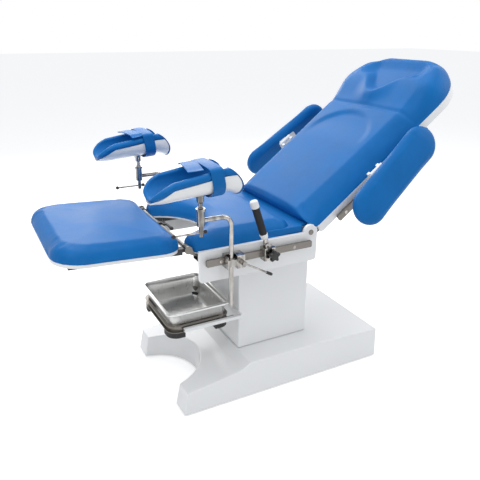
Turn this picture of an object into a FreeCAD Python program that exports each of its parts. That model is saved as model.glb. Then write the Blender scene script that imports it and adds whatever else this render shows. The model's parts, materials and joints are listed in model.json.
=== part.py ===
import FreeCAD, Part
import math
import os

# Electric gynaecological table. Millimetres, +Z up, floor at Z = 0.
# X runs from the foot end (-) to the head end (+), the near side is -Y.
# The pieces are drawn about the lifting column and moved by column_x at the end.

os.makedirs("parts", exist_ok=True)
Vec = FreeCAD.Vector
across = Vec(0, 1, 0)
upward = Vec(0, 0, 1)
along = Vec(1, 0, 0)

# Overall placing
column_x = 20.4
running_fit = 0.05
soft_gap = 0.4

# Base
base_foot_x = -449.0
base_head_x = 461.0
base_half_width = 267.0
base_foot_height = 92.0
base_foot_rake = 16.0
base_crease_x = -207.0
base_crease_z = 124.0
base_plateau_x = 168.0
base_plateau_z = 146.0
base_head_height = 132.0
base_side_draft = 8.0
base_wall = 4.0
base_lift_off = 6.0
base_edge_radius = 5.0
cover_rib_places = (-300.0, 0.0, 300.0)
cover_rib_width = 30.0
cover_rib_top_z = 48.0
bay_centre_x = -471.0
bay_radius = 180.0
bay_draft = 10.0
foot_pad_radius = 25.0
foot_pad_height = 12.0
foot_stud_radius = 6.0
foot_stud_length = 22.0
frame_tube_width = 50.0
frame_tube_height = 40.0
frame_tube_wall = 3.0
frame_tube_set_in = 45.0
frame_foot_x = -425.0
frame_head_x = 430.0
frame_cross_x = 165.0
foot_pad_inset = 30.0
column_plate = 10.0
column_plate_x = 175.0
column_plate_y = 155.0
inlet_z = 66.0
inlet_width = 52.0
inlet_height = 34.0
inlet_flange = 3.0
inlet_depth = 26.0

# Lifting column
shroud_x = 160.0
shroud_y = 144.0
shroud_wall = 2.5
shroud_bottom_gap = 3.0
shroud_corner = 5.0
column_gap = 3.5
column_wall = 4.0
column_top_z = 540.0
guide_pad_width = 42.0
guide_pad_height = 60.0
guide_pad_play = 0.3
lift_tube_radius = 32.0
lift_tube_top_z = 380.0
lift_rod_radius = 17.5
lift_rod_bottom_z = 92.0
lift_tube_floor = 22.0
motor_radius = 36.0
motor_length = 120.0
motor_offset = 72.0
gearbox_height = 48.0
gearbox_half_width = 40.0

# Seat
head_plate_z = 600.0
head_plate = 8.0
seat_tube_height = 30.0
seat_tube_width = 40.0
seat_tube_wall = 3.0
seat_tube_set_in = 39.0
seat_tube_foot_x = -372.0
seat_tube_head_x = 44.0
seat_cross_x = (-205.0, -110.0, 24.0, 110.0)
lift_head_half_x = 150.0
lift_head_half_y = 134.0
board_thickness = 8.0
board_inset = 8.0
seat_foot_x = -396.0
seat_head_x = 12.0
seat_set_in = 14.0
seat_thickness = 56.0
seat_edge_radius = 18.0
seat_head_corner = 60.0
horn_outer_corner = 45.0
horn_inner_corner = 30.0
cut_centre_x = -443.0
cut_margin = 77.0
ledge_head_x = 74.0
ledge_top_z = 680.0
ledge_thickness = 12.0
ledge_wide_head_x = 46.0
ledge_set_in = 14.0
panel_foot_x = -380.0
panel_head_x = 99.0
panel_bottom_z = 539.0
panel_top_z = 655.0
panel_thickness = 12.0
panel_set_in = 4.0
panel_corner = 12.0
panel_edge = 2.0
ear_radius = 30.0

# Accessory rails
rail_height = 25.0
rail_thickness = 10.0
rail_corner = 5.0
rail_bottom_z = 604.0
rail_foot_x = -363.0
rail_head_x = 62.0
rail_stand_off = 12.0
rail_screw_radius = 4.0
rail_spacer_radius = 8.0
rail_screw_head = 6.5
rail_screw_proud = 0.6
rail_screw_foot_x = -308.0
rail_screw_head_x = -15.0

# Back section, drawn flat: X along the back from the pivot, Z off its shell
pivot_x = 70.0
pivot_z = 653.0
back_angle = 37.1
pivot_pin_radius = 8.0
pivot_cap_radius = 10.0
pivot_cap = 3.0
arm_thickness = 8.0
arm_height = 30.0
arm_length = 600.0
arm_hub_radius = 21.0
back_half_width = 280.0
back_low_s = 33.0
back_high_s = 897.0
back_corner = 185.0
back_shell_height = 38.0
back_shell_wall = 3.0
back_shell_edge = 10.0
back_cushion_edge = 22.0
back_cushion_top = 56.0
back_cushion_bevel = 66.0
back_low_undercut = 22.0
head_low_s = 575.0
head_rise_s = 650.0
head_top = 74.0
head_bevel = 26.0
back_rail_low_s = 112.0
back_rail_high_s = 612.0
back_rail_top_n = -20.0
back_rail_stand_off = 8.0
back_rail_screw_inset = 38.0
back_cross_middle_s = 330.0
back_cross_inset = 40.0
back_cross_radius = 11.0

# Back actuator
actuator_foot_x = 205.0
actuator_foot_z = 250.0
actuator_eye_s = 120.0
actuator_eye_n = -45.0
actuator_pin_radius = 5.0
actuator_tube_radius = 18.0
actuator_tube_length = 290.0
actuator_nose_radius = 13.0
actuator_neck_half = 8.0
actuator_neck_length = 34.0
actuator_tube_start = 30.0
actuator_bore_start = 80.0
actuator_box_half = 26.0
actuator_box_side = 22.0
actuator_box_top = 70.0
actuator_motor_gap = 4.0
actuator_fork_radius = 12.0
actuator_fork_room = 1.5
actuator_fork_gap = 34.0
actuator_fork_floor = 14.0
actuator_pin_end = 2.0
actuator_foot_half = 20.0
actuator_foot_nose = 14.0
actuator_foot_plate = 4.0
actuator_foot_plate_half = 30.0
actuator_rod_radius = 9.0
actuator_rod_overlap = 90.0
actuator_eye_radius = 30.0
actuator_eye_hole = 22.0
actuator_lug = 6.0
actuator_cheek = 5.0
actuator_motor_radius = 24.0
actuator_motor_length = 110.0

# Leg section, drawn level: X towards the foot end is negative, turned about the shaft
leg_shaft_x = -408.0
leg_shaft_z = 660.0
leg_shaft_radius = 8.0
leg_angle = 3.0
leg_near_x = -430.0
leg_far_x = -846.0
leg_foot_corner = 100.0
leg_knee_corner = 72.0
leg_board_bottom = -6.0
leg_board_height = 12.0
leg_board_wall = 2.5
leg_board_inset = 2.0
leg_cushion_thickness = 42.0
leg_edge_radius = 16.0
leg_tube_set_in = 46.0
leg_tube_width = 24.0
leg_tube_height = 21.5
leg_tube_end_x = -800.0
leg_cross_x = (-480.0, -760.0)
leg_hub_radius = 11.5
leg_neck_below = 9.0
bracket_thickness = 8.0
bracket_hub_radius = 14.0
lock_hub_y = 20.0
lock_hub_width = 16.0
lock_hub_radius = 13.0
lock_arm = 26.0
lock_bar = 90.0
lock_bar_radius = 5.0

# Arm rests, drawn beside the flat back
armrest_s = 356.0
armrest_out = 56.0
armrest_n = -10.0
armrest_length = 455.0
armrest_width = 140.0
armrest_thickness = 42.0
armrest_edge = 15.0
armrest_roll = 75.0
armrest_splay = 8.0
arm_hinge_out = 28.0
arm_hinge_n = 22.0
arm_hinge_pin = 5.0
arm_hinge_radius = 9.0
arm_hinge_length = 60.0
arm_clamp_s = 330.0
arm_clamp_length = 60.0
arm_plate_length = 90.0
arm_plate_width = 50.0
arm_plate_high = 10.0
arm_plate = 4.0

# Leg supports
pole_x = -280.0
pole_out = 26.0
pole_radius = 8.0
pole_tip_z = 444.0
pole_tip = 14.0
pole_arm_z = 782.0
pole_bend = 32.0
socket_x = -389.0
socket_radius = 13.0
socket_bottom_z = 764.0
socket_top_z = 823.0
socket_flange_radius = 16.0
socket_flange = 8.0
post_radius = 7.0
post_bottom_z = 728.0
ball_z = 850.0
ball_radius = 11.0
ball_play = 0.3
tommy_z = 742.0
tommy_radius = 3.2
tommy_foot = 94.0
tommy_head = 15.0
tommy_ball = 6.5
clamp_foot_x = -298.0
clamp_head_x = -232.0
clamp_bottom_z = 594.0
clamp_top_z = 641.0
clamp_front = 14.0
jaw_play = 0.4
jaw_lip = 3.6
jaw_lip_thickness = 4.0
bush_radius = 11.0
bush_flange_radius = 14.0
bush_flange = 3.0
bush_half_height = 12.0
clamp_pocket = 17.0
clamp_pocket_play = 0.5
lever_x = -246.0
lever_z = 616.0
lever_screw_radius = 5.0
lever_screw_depth = 26.0
lever_hub_radius = 9.0
lever_hub_length = 24.0
lever_rod_radius = 3.2
lever_length = 130.0
lever_angle = -30.0
lever_tip_radius = 5.0
lever_tip_length = 24.0

# Calf rests, drawn about the ball of the post: X along the calf
calf_foot_u = -157.0
calf_foot_shoulder = 18.0
calf_foot_kink = 44.0
calf_pad_foot = 6.0
calf_straight_u = 62.0
calf_throat_u = 88.0
calf_knee_u = 112.0
calf_knee_lean = 18.0
calf_half_width = 74.0
calf_bottom_w = 19.0
calf_foot_rim_w = 88.0
calf_rim_w = 106.0
calf_throat = 3.0
calf_flare = 14.0
calf_shell_wall = 4.0
calf_shell_drop = 22.0
calf_pad_wall = 14.0
calf_rise = 4.0
cup_radius = 15.0
cup_depth = 9.0
strap_low_u = 17.0
strap_high_u = 60.0
strap_thickness = 2.5
strap_arch = 12.0

# Hand grip
grip_x = -135.0
grip_out = 15.0
grip_pivot_z = 650.0
grip_lean = 18.7
grip_neck = 27.0
grip_cap_low = 18.0
grip_sleeve = 106.0
grip_cap_top = 26.0
grip_radius = 13.0
grip_cap_radius = 14.5
grip_ball_radius = 9.0
grip_clamp_foot_x = -150.0
grip_clamp_head_x = -106.0
grip_clamp_front = 15.0
knob_x = -121.0
knob_z = 616.0
knob_radius = 15.0
knob_lobe_radius = 7.0
knob_lobes = 5
knob_thickness = 18.0
knob_neck = 6.0

# Drain pan and its carrier
pan_x = -328.0
pan_rim_z = 374.0
pan_length = 265.0
pan_width = 325.0
pan_depth = 100.0
pan_flange = 12.0
pan_draft = 11.5
pan_corner = 42.0
pan_sheet = 1.2
pan_lip = 6.0
carrier_bottom_z = 292.0
carrier_height = 26.0
carrier_channel = 12.0
carrier_sheet = 2.5
carrier_play = 0.6
tongue_width = 11.0
tongue_thickness = 4.0
tongue_head_x = -185.0
runner_play = 0.4
runner_wall = 4.0
runner_foot_x = -400.0
runner_plate = 4.0
rubber_height = 24.0
rubber_floor = 5.0

# Worked out once from the sizes above
frame_tube_y = base_half_width - frame_tube_set_in
panel_outer_y = back_half_width - panel_set_in
leg_half_width = panel_outer_y
seat_half_width = panel_outer_y - seat_set_in
cut_radius = seat_half_width - cut_margin
ledge_half_width = seat_half_width - ledge_set_in
leg_tube_y = leg_half_width - leg_tube_set_in
rail_centre_z = rail_bottom_z + rail_height / 2
rail_inner_y = panel_outer_y + rail_stand_off
rail_outer_y = rail_inner_y + rail_thickness
column_x_half = shroud_x - shroud_wall - column_gap
column_y_half = shroud_y - shroud_wall - column_gap
plate_top_z = foot_pad_height + frame_tube_height + column_plate
seat_tube_z = head_plate_z + head_plate
board_z = seat_tube_z + seat_tube_height
cushion_z = board_z + board_thickness
panel_inner_y = panel_outer_y - panel_thickness
seat_tube_y = panel_inner_y - seat_tube_set_in
pole_y = rail_inner_y + pole_out
clamp_front_y = pole_y + clamp_front
grip_y = rail_inner_y + grip_out
grip_clamp_front_y = grip_y + grip_clamp_front
arm_outer_y = panel_inner_y - 2.0
arm_inner_y = arm_outer_y - arm_thickness
back_rail_inner_y = back_half_width + back_rail_stand_off
back_rail_centre_n = back_rail_top_n - rail_height / 2
arm_hinge_y = back_rail_inner_y + arm_hinge_out
armrest_y = arm_hinge_y + armrest_out
back_cross_s = (actuator_eye_s, back_cross_middle_s, arm_length - back_cross_inset)


def box(low, high):
    size = Vec(*high) - Vec(*low)
    return Part.makeBox(size.x, size.y, size.z, Vec(*low))


def rod(start, end, radius):
    line = Vec(*end) - Vec(*start)
    return Part.makeCylinder(radius, line.Length, Vec(*start), line)


def rounded(solid, radius, chosen):
    return solid.makeFillet(radius, [edge for edge in solid.Edges if chosen(edge)])


def is_upright(edge):
    ends = [vertex.Point for vertex in edge.Vertexes]
    return len(ends) == 2 and abs(ends[0].x - ends[1].x) + abs(ends[0].y - ends[1].y) < 0.01


def at_height(z):
    return lambda edge: all(abs(vertex.Z - z) < 0.01 for vertex in edge.Vertexes)


def prism(points, direction):
    wire = Part.makePolygon([Vec(*point) for point in points] + [Vec(*points[0])])
    return Part.Face(wire).extrude(Vec(*direction))


def fused(solids):
    joined = solids[0]
    if len(solids) > 1:
        joined = joined.fuse(solids[1:])
    return joined.removeSplitter()


def mirrored(shape):
    return shape.mirror(Vec(0, 0, 0), across)


def group(solids):
    return Part.makeCompound(solids)


def tilt_back(shape):
    moved = shape.copy()
    moved.rotate(Vec(0, 0, 0), across, -back_angle)
    moved.translate(Vec(pivot_x, 0, pivot_z))
    return moved


def turn_leg(shape):
    moved = shape.copy()
    moved.rotate(Vec(leg_shaft_x, 0, leg_shaft_z), across, leg_angle)
    return moved


def rounded_wire(low_x, high_x, half_width, low_corner, high_corner, z):
    """Closed outline in the XY plane with one corner radius at each end."""
    def corner(x, y, radius, start):
        centre = Vec(x, y, z)
        circle = Part.Circle(centre, upward, radius)
        return Part.ArcOfCircle(circle, math.radians(start), math.radians(start + 90)).toShape()
    low_y = half_width - low_corner
    high_y = half_width - high_corner
    edges = [
        corner(high_x - high_corner, high_y, high_corner, 0),
        Part.makeLine(Vec(high_x - high_corner, half_width, z), Vec(low_x + low_corner, half_width, z)),
        corner(low_x + low_corner, low_y, low_corner, 90),
        Part.makeLine(Vec(low_x, low_y, z), Vec(low_x, -low_y, z)),
        corner(low_x + low_corner, -low_y, low_corner, 180),
        Part.makeLine(Vec(low_x + low_corner, -half_width, z), Vec(high_x - high_corner, -half_width, z)),
        corner(high_x - high_corner, -high_y, high_corner, 270),
        Part.makeLine(Vec(high_x, -high_y, z), Vec(high_x, high_y, z)),
    ]
    return Part.Wire(edges)


def base_block(inset, bottom):
    """Crowned block with raked feet, drafted sides and the round bay between the feet."""
    high = 400.0
    profile = [
        (base_foot_x + inset, 0, bottom),
        (base_foot_x + base_foot_rake + inset, 0, base_foot_height - inset),
        (base_crease_x, 0, base_crease_z - inset),
        (-base_plateau_x, 0, base_plateau_z - inset),
        (base_plateau_x, 0, base_plateau_z - inset),
        (base_head_x - inset, 0, base_head_height - inset),
        (base_head_x - inset, 0, bottom),
    ]
    body = prism(profile, (0, 2 * base_half_width, 0))
    body.translate(Vec(0, -base_half_width, 0))
    wide = base_half_width - inset
    narrow = wide - base_side_draft * high / base_plateau_z
    section = [
        (base_foot_x, -wide, bottom),
        (base_foot_x, wide, bottom),
        (base_foot_x, narrow, high),
        (base_foot_x, -narrow, high),
    ]
    body = body.common(prism(section, (base_head_x - base_foot_x, 0, 0)))
    grow = bay_draft * high / base_plateau_z
    bay = Part.makeCone(bay_radius + inset, bay_radius + grow + inset, high, Vec(bay_centre_x, 0, 0))
    return body.cut(bay)


def base_cover():
    outer = base_block(0.0, base_lift_off)
    outer = rounded(outer, base_edge_radius, lambda edge: not at_height(base_lift_off)(edge))
    cover = outer.cut(base_block(base_wall, base_lift_off - 1.0))
    hole_x = column_x_half + 1.0
    hole_y = column_y_half + 1.0
    cover = cover.cut(box((-hole_x, -hole_y, base_foot_height), (hole_x, hole_y, base_plateau_z + 1)))
    tube_side = frame_tube_y + frame_tube_width / 2 + running_fit
    ribs = []
    for x in cover_rib_places:
        low = (x - cover_rib_width / 2, tube_side, foot_pad_height)
        rib = box(low, (x + cover_rib_width / 2, base_half_width - base_wall - 1.0, cover_rib_top_z))
        ribs += [rib, mirrored(rib)]
    cover = fused([cover] + ribs)
    half_y = inlet_width / 2 - inlet_flange
    half_z = inlet_height / 2 - inlet_flange
    return cover.cut(box(
        (base_head_x - 2 * base_wall, -half_y, inlet_z - half_z),
        (base_head_x + base_wall, half_y, inlet_z + half_z)))


def mains_inlet():
    half_y = inlet_width / 2
    half_z = inlet_height / 2
    flange = box((base_head_x, -half_y, inlet_z - half_z), (base_head_x + inlet_flange, half_y, inlet_z + half_z))
    flange = rounded(flange, inlet_flange, lambda edge: edge.Length < inlet_flange + 0.01)
    body_y = half_y - inlet_flange - soft_gap
    body_z = half_z - inlet_flange - soft_gap
    body = box(
        (base_head_x - inlet_depth, -body_y, inlet_z - body_z),
        (base_head_x, body_y, inlet_z + body_z))
    inlet = fused([flange, body])
    recess_y = body_y - inlet_flange
    recess_z = body_z - inlet_flange
    inlet = inlet.cut(box(
        (base_head_x - inlet_depth + inlet_flange, -recess_y, inlet_z - recess_z),
        (base_head_x + 2 * inlet_flange, recess_y, inlet_z + recess_z)))
    pins = []
    for y, z in ((-7.0, -2.0), (0.0, 3.0), (7.0, -2.0)):
        low = (base_head_x - inlet_depth, y - 1.0, inlet_z + z - 2.0)
        pins.append(box(low, (base_head_x - inlet_flange, y + 1.0, inlet_z + z + 2.0)))
    return fused([inlet] + pins)


def foot_places():
    xs = (frame_foot_x + foot_pad_inset, frame_head_x - foot_pad_inset)
    return [(x, y) for x in xs for y in (-frame_tube_y, frame_tube_y)]


def levelling_feet():
    feet = []
    for x, y in foot_places():
        pad = Part.makeCylinder(foot_pad_radius, foot_pad_height, Vec(x, y, 0))
        pad = rounded(pad, foot_pad_height / 4, at_height(0))
        stud = Part.makeCylinder(foot_stud_radius, foot_pad_height + foot_stud_length, Vec(x, y, 0))
        feet.append(fused([pad, stud]))
    return group(feet)


def base_frame():
    low_z = foot_pad_height
    high_z = foot_pad_height + frame_tube_height
    half = frame_tube_width / 2
    outer = []
    inner = []
    for y in (-frame_tube_y, frame_tube_y):
        low = (frame_foot_x, y - half, low_z)
        high = (frame_head_x, y + half, high_z)
        outer.append(box(low, high))
        inner.append(box(
            (low[0] - 1, low[1] + frame_tube_wall, low_z + frame_tube_wall),
            (high[0] + 1, high[1] - frame_tube_wall, high_z - frame_tube_wall)))
    side = frame_tube_y - half
    for x in (-frame_cross_x, frame_cross_x):
        outer.append(box((x - half, -side, low_z), (x + half, side, high_z)))
        inner.append(box(
            (x - half + frame_tube_wall, -side, low_z + frame_tube_wall),
            (x + half - frame_tube_wall, side, high_z - frame_tube_wall)))
    outer.append(box((-column_plate_x, -column_plate_y, high_z), (column_plate_x, column_plate_y, plate_top_z)))
    frame = fused(outer).cut(inner)
    holes = [rod((x, y, 0), (x, y, low_z + frame_tube_wall + 1), foot_stud_radius + soft_gap)
             for x, y in foot_places()]
    return frame.cut(holes)


def upright_tube(half_x, half_y, wall, corner, low_z, high_z):
    outer = rounded(box((-half_x, -half_y, low_z), (half_x, half_y, high_z)), corner, is_upright)
    inner = box((wall - half_x, wall - half_y, low_z - 1), (half_x - wall, half_y - wall, high_z + 1))
    return outer.cut(rounded(inner, max(corner - wall, 1.0), is_upright))


def column_inner():
    return upright_tube(column_x_half, column_y_half, column_wall, shroud_corner, plate_top_z, column_top_z)


def column_outer():
    low_z = base_plateau_z + shroud_bottom_gap
    shroud = upright_tube(shroud_x, shroud_y, shroud_wall, shroud_corner, low_z, head_plate_z)
    return fused([shroud, actuator_bracket()])


def guide_pads():
    low_z = base_plateau_z + shroud_bottom_gap + guide_pad_width / 2
    thick = column_gap - guide_pad_play
    inner_x = shroud_x - shroud_wall
    inner_y = shroud_y - shroud_wall
    half = guide_pad_width / 2
    pads = []
    for side in (-1, 1):
        for place in (-0.5, 0.5):
            y = place * inner_y
            x = place * inner_x
            ends = sorted((side * (inner_x - thick), side * inner_x))
            pads.append(box((ends[0], y - half, low_z), (ends[1], y + half, low_z + guide_pad_height)))
            ends = sorted((side * (inner_y - thick), side * inner_y))
            pads.append(box((x - half, ends[0], low_z), (x + half, ends[1], low_z + guide_pad_height)))
    return group(pads)


def lift_motor():
    tube = rod((0, 0, plate_top_z), (0, 0, lift_tube_top_z), lift_tube_radius)
    gearbox = box(
        (-lift_tube_radius, -gearbox_half_width, plate_top_z),
        (motor_offset + motor_radius, gearbox_half_width, plate_top_z + gearbox_height))
    gearbox = rounded(gearbox, 8.0, is_upright)
    low = plate_top_z + gearbox_height
    motor = rod((motor_offset, 0, low), (motor_offset, 0, low + motor_length), motor_radius)
    motor = rounded(motor, 6.0, at_height(low + motor_length))
    bore = rod((0, 0, plate_top_z + lift_tube_floor), (0, 0, lift_tube_top_z + 1), lift_rod_radius + running_fit)
    return fused([tube, gearbox, motor]).cut(bore)


def lift_rod():
    return rod((0, 0, lift_rod_bottom_z), (0, 0, head_plate_z), lift_rod_radius)


def seat_frame():
    """Square tubes welded to a ladder, with the head plate of the column under them."""
    half = seat_tube_width / 2
    low_z = seat_tube_z
    high_z = board_z
    wall = seat_tube_wall
    outer = []
    inner = []
    for y in (-seat_tube_y, seat_tube_y):
        outer.append(box((seat_tube_foot_x, y - half, low_z), (seat_tube_head_x, y + half, high_z)))
        inner.append(box(
            (seat_tube_foot_x - 1, y - half + wall, low_z + wall),
            (seat_tube_head_x + 1, y + half - wall, high_z - wall)))
    reach = seat_tube_y - half
    for index, x in enumerate(seat_cross_x):
        end = panel_inner_y if index % 2 == 0 else reach
        outer.append(box((x - half, -end, low_z), (x + half, end, high_z)))
        inner.append(box(
            (x - half + wall, -reach, low_z + wall),
            (x + half - wall, reach, high_z - wall)))
    for side in (-1, 1):
        ends = sorted((side * (seat_tube_y + half), side * panel_inner_y))
        outer.append(box(
            (seat_tube_foot_x, ends[0], low_z),
            (seat_tube_foot_x + seat_tube_width, ends[1], high_z)))
    ladder_head = seat_cross_x[3] + half
    outer.append(box((seat_cross_x[2], -reach, low_z), (ladder_head, -reach + seat_tube_width, high_z)))
    outer.append(box((seat_cross_x[2], reach - seat_tube_width, low_z), (ladder_head, reach, high_z)))
    outer.append(box(
        (-lift_head_half_x, -lift_head_half_y, head_plate_z), (lift_head_half_x, lift_head_half_y, seat_tube_z)))
    return fused(outer).cut(inner)


def seat_outline(inset, low_z, height):
    """Seat shape seen from above: square shoulders, two horns and the round cut between them."""
    low_x = seat_foot_x + inset
    high_x = seat_head_x - inset
    half = seat_half_width - inset
    body = box((low_x, -half, low_z), (high_x, half, low_z + height))
    cut = Part.makeCylinder(cut_radius + inset, height, Vec(cut_centre_x, 0, low_z))
    body = body.cut(cut)
    body = rounded(body, seat_head_corner, lambda e: is_upright(e) and abs(e.Vertexes[0].X - high_x) < 0.01)
    body = rounded(body, horn_outer_corner, lambda e: is_upright(e) and abs(e.Vertexes[0].X - low_x) < 0.01
                   and abs(abs(e.Vertexes[0].Y) - half) < 0.01)
    return rounded(body, horn_inner_corner, lambda e: is_upright(e) and abs(e.Vertexes[0].X - low_x) < 0.01
                   and abs(e.Vertexes[0].Y) < half - horn_outer_corner - 1)


def seat_board():
    return seat_outline(board_inset, board_z, board_thickness)


def seat_cushion():
    top_z = cushion_z + seat_thickness
    body = seat_outline(0.0, cushion_z, seat_thickness)
    body = rounded(body, seat_edge_radius, at_height(top_z))
    ledge = box(
        (seat_head_x - seat_head_corner, -ledge_half_width, ledge_top_z - ledge_thickness),
        (ledge_head_x, ledge_half_width, ledge_top_z))
    ledge = rounded(ledge, ledge_thickness / 3, lambda e: abs(e.Vertexes[0].X - ledge_head_x) < 0.01
                    and abs(e.Vertexes[-1].X - ledge_head_x) < 0.01)
    strip = box(
        (seat_head_x - 2 * seat_head_corner, -seat_half_width, cushion_z),
        (ledge_wide_head_x, seat_half_width, ledge_top_z))
    return fused([body, strip, ledge])


def side_panel():
    plate = box((panel_foot_x, -panel_outer_y, panel_bottom_z), (panel_head_x, -panel_inner_y, panel_top_z))
    plate = rounded(plate, panel_corner, lambda e: abs(e.Length - panel_thickness) < 0.01
                    and abs(e.Vertexes[0].Z - panel_bottom_z) < 0.01)
    ear = rod((pivot_x, -panel_outer_y, pivot_z), (pivot_x, -panel_inner_y, pivot_z), ear_radius)
    post = box(
        (pivot_x - ear_radius, -panel_outer_y, panel_top_z - ear_radius),
        (panel_head_x, -panel_inner_y, pivot_z))
    plate = fused([plate, ear, post])
    plate = rounded(plate, panel_edge, lambda e: all(abs(v.Y + panel_outer_y) < 0.01 for v in e.Vertexes))
    return plate.cut(rod(
        (pivot_x, -panel_outer_y - 1, pivot_z),
        (pivot_x, -panel_inner_y + 1, pivot_z),
        pivot_pin_radius + running_fit))


def pivot_pins():
    shank = rod((pivot_x, -panel_outer_y, pivot_z), (pivot_x, -arm_inner_y, pivot_z), pivot_pin_radius)
    cap = rod((pivot_x, -panel_outer_y - pivot_cap, pivot_z), (pivot_x, -panel_outer_y, pivot_z), pivot_cap_radius)
    cap = cap.makeFillet(1.0, [e for e in cap.Edges if abs(e.Vertexes[0].Y + panel_outer_y + pivot_cap) < 0.01
                               and e.Closed])
    pin = fused([shank, cap])
    return group([pin, mirrored(pin)])


def rail_bar(low_x, high_x, outer_y, low_z, screws):
    bar = box((low_x, -outer_y, low_z), (high_x, -outer_y + rail_thickness, low_z + rail_height))
    bar = rounded(bar, rail_corner, lambda e: abs(e.Length - rail_thickness) < 0.01)
    bar = rounded(bar, 1.0, lambda e: all(abs(v.Y + outer_y) < 0.01 for v in e.Vertexes))
    holes = []
    for x in screws:
        z = low_z + rail_height / 2
        holes.append(rod((x, -outer_y - 1, z), (x, -outer_y + rail_thickness + 1, z), rail_screw_radius + running_fit))
    return bar.cut(holes)


def side_rail():
    return rail_bar(rail_foot_x, rail_head_x, rail_outer_y, rail_bottom_z, (rail_screw_foot_x, rail_screw_head_x))


def stand_off(x, z, inner_y, outer_y):
    spacer = rod((x, -outer_y + rail_thickness, z), (x, -inner_y, z), rail_spacer_radius)
    shank = rod((x, -outer_y, z), (x, -inner_y, z), rail_screw_radius)
    head = rod((x, -outer_y - rail_screw_proud, z), (x, -outer_y, z), rail_screw_head)
    return fused([spacer, shank, head])


def side_stand_offs():
    near = [stand_off(x, rail_centre_z, panel_outer_y, rail_outer_y)
            for x in (rail_screw_foot_x, rail_screw_head_x)]
    return group(near + [mirrored(piece) for piece in near])


def leg_hinge():
    """Plates on the seat tubes with the leg section's shaft welded across them."""
    inner = seat_tube_y + seat_tube_width / 2
    outer = inner + bracket_thickness
    inside = bracket_hub_radius * 0.6
    points = [
        (leg_shaft_x - inside, -outer, leg_shaft_z - inside),
        (seat_tube_foot_x + seat_tube_width, -outer, seat_tube_z),
        (seat_tube_foot_x + seat_tube_width, -outer, board_z - 2),
        (leg_shaft_x + 2 * bracket_hub_radius, -outer, board_z - 2),
        (leg_shaft_x + inside, -outer, leg_shaft_z + inside),
    ]
    plate = prism(points, (0, bracket_thickness, 0))
    hub = rod((leg_shaft_x, -outer, leg_shaft_z), (leg_shaft_x, -inner, leg_shaft_z), bracket_hub_radius)
    plate = fused([plate, hub])
    shaft = rod((leg_shaft_x, -outer, leg_shaft_z), (leg_shaft_x, outer, leg_shaft_z), leg_shaft_radius)
    return fused([plate, mirrored(plate), shaft])


def leg_frame():
    top = leg_shaft_z + leg_board_bottom + leg_board_height - leg_board_wall
    low = top - leg_tube_height
    half = leg_tube_width / 2
    parts = []
    for side in (-1, 1):
        y = side * leg_tube_y
        parts.append(box((leg_tube_end_x, y - half, low), (leg_near_x + leg_board_inset + leg_board_wall,
                                                            y + half, top)))
        parts.append(box((leg_near_x, y - half, leg_shaft_z - leg_neck_below), (leg_shaft_x, y + half, top)))
        parts.append(rod((leg_shaft_x, y - half, leg_shaft_z), (leg_shaft_x, y + half, leg_shaft_z), leg_hub_radius))
    for x in leg_cross_x:
        parts.append(box((x - half, -leg_tube_y, low), (x + half, leg_tube_y, top)))
    frame = fused(parts)
    bore = rod((leg_shaft_x, -leg_tube_y - half - 1, leg_shaft_z), (leg_shaft_x, leg_tube_y + half + 1, leg_shaft_z),
               leg_shaft_radius + running_fit)
    return turn_leg(frame.cut(bore))


def leg_outline(inset, z):
    low = leg_far_x + inset
    high = leg_near_x - inset
    return rounded_wire(low, high, leg_half_width - inset, leg_foot_corner - inset, leg_knee_corner - inset, z)


def leg_board():
    z = leg_shaft_z + leg_board_bottom
    outer = Part.Face(leg_outline(leg_board_inset, z)).extrude(Vec(0, 0, leg_board_height))
    outer = rounded(outer, 2.0, at_height(z))
    inner = Part.Face(leg_outline(leg_board_inset + leg_board_wall, z - 1))
    board = outer.cut(inner.extrude(Vec(0, 0, leg_board_height + 1 - leg_board_wall)))
    half = leg_tube_width / 2 + soft_gap
    slots = []
    for side in (-1, 1):
        y = side * leg_tube_y
        slots.append(box(
            (leg_near_x - 2 * leg_tube_width, y - half, z - 1),
            (leg_near_x + 1, y + half, z + leg_board_height - leg_board_wall)))
    return turn_leg(board.cut(slots))


def leg_cushion():
    z = leg_shaft_z + leg_board_bottom + leg_board_height
    body = Part.Face(leg_outline(0.0, z)).extrude(Vec(0, 0, leg_cushion_thickness))
    body = rounded(body, leg_edge_radius, at_height(z + leg_cushion_thickness))
    return turn_leg(body)


def leg_lock():
    """Hand latch that turns on the shaft, with its bar beside the knee gap."""
    y = lock_hub_y
    hub = rod((leg_shaft_x, y, leg_shaft_z), (leg_shaft_x, y + lock_hub_width, leg_shaft_z), lock_hub_radius)
    arm = box(
        (leg_shaft_x, y + lock_hub_width / 4, leg_shaft_z - 4),
        (leg_shaft_x + lock_arm, y + lock_hub_width * 3 / 4, leg_shaft_z + 4))
    end = leg_shaft_x + lock_arm
    bar = rod((end, y - lock_bar / 2, leg_shaft_z), (end, y + lock_bar / 2, leg_shaft_z), lock_bar_radius)
    ball = Part.makeSphere(lock_bar_radius * 1.5, Vec(end, y - lock_bar / 2, leg_shaft_z))
    pin_y = y + lock_bar / 2 - lock_bar_radius
    pin = rod((end, pin_y, leg_shaft_z), (end, pin_y, leg_shaft_z + 16), lock_bar_radius / 2)
    lever = fused([hub, arm, bar, ball, pin])
    return lever.cut(rod((leg_shaft_x, y - 1, leg_shaft_z), (leg_shaft_x, y + lock_hub_width + 1, leg_shaft_z),
                         leg_shaft_radius + running_fit))


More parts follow.
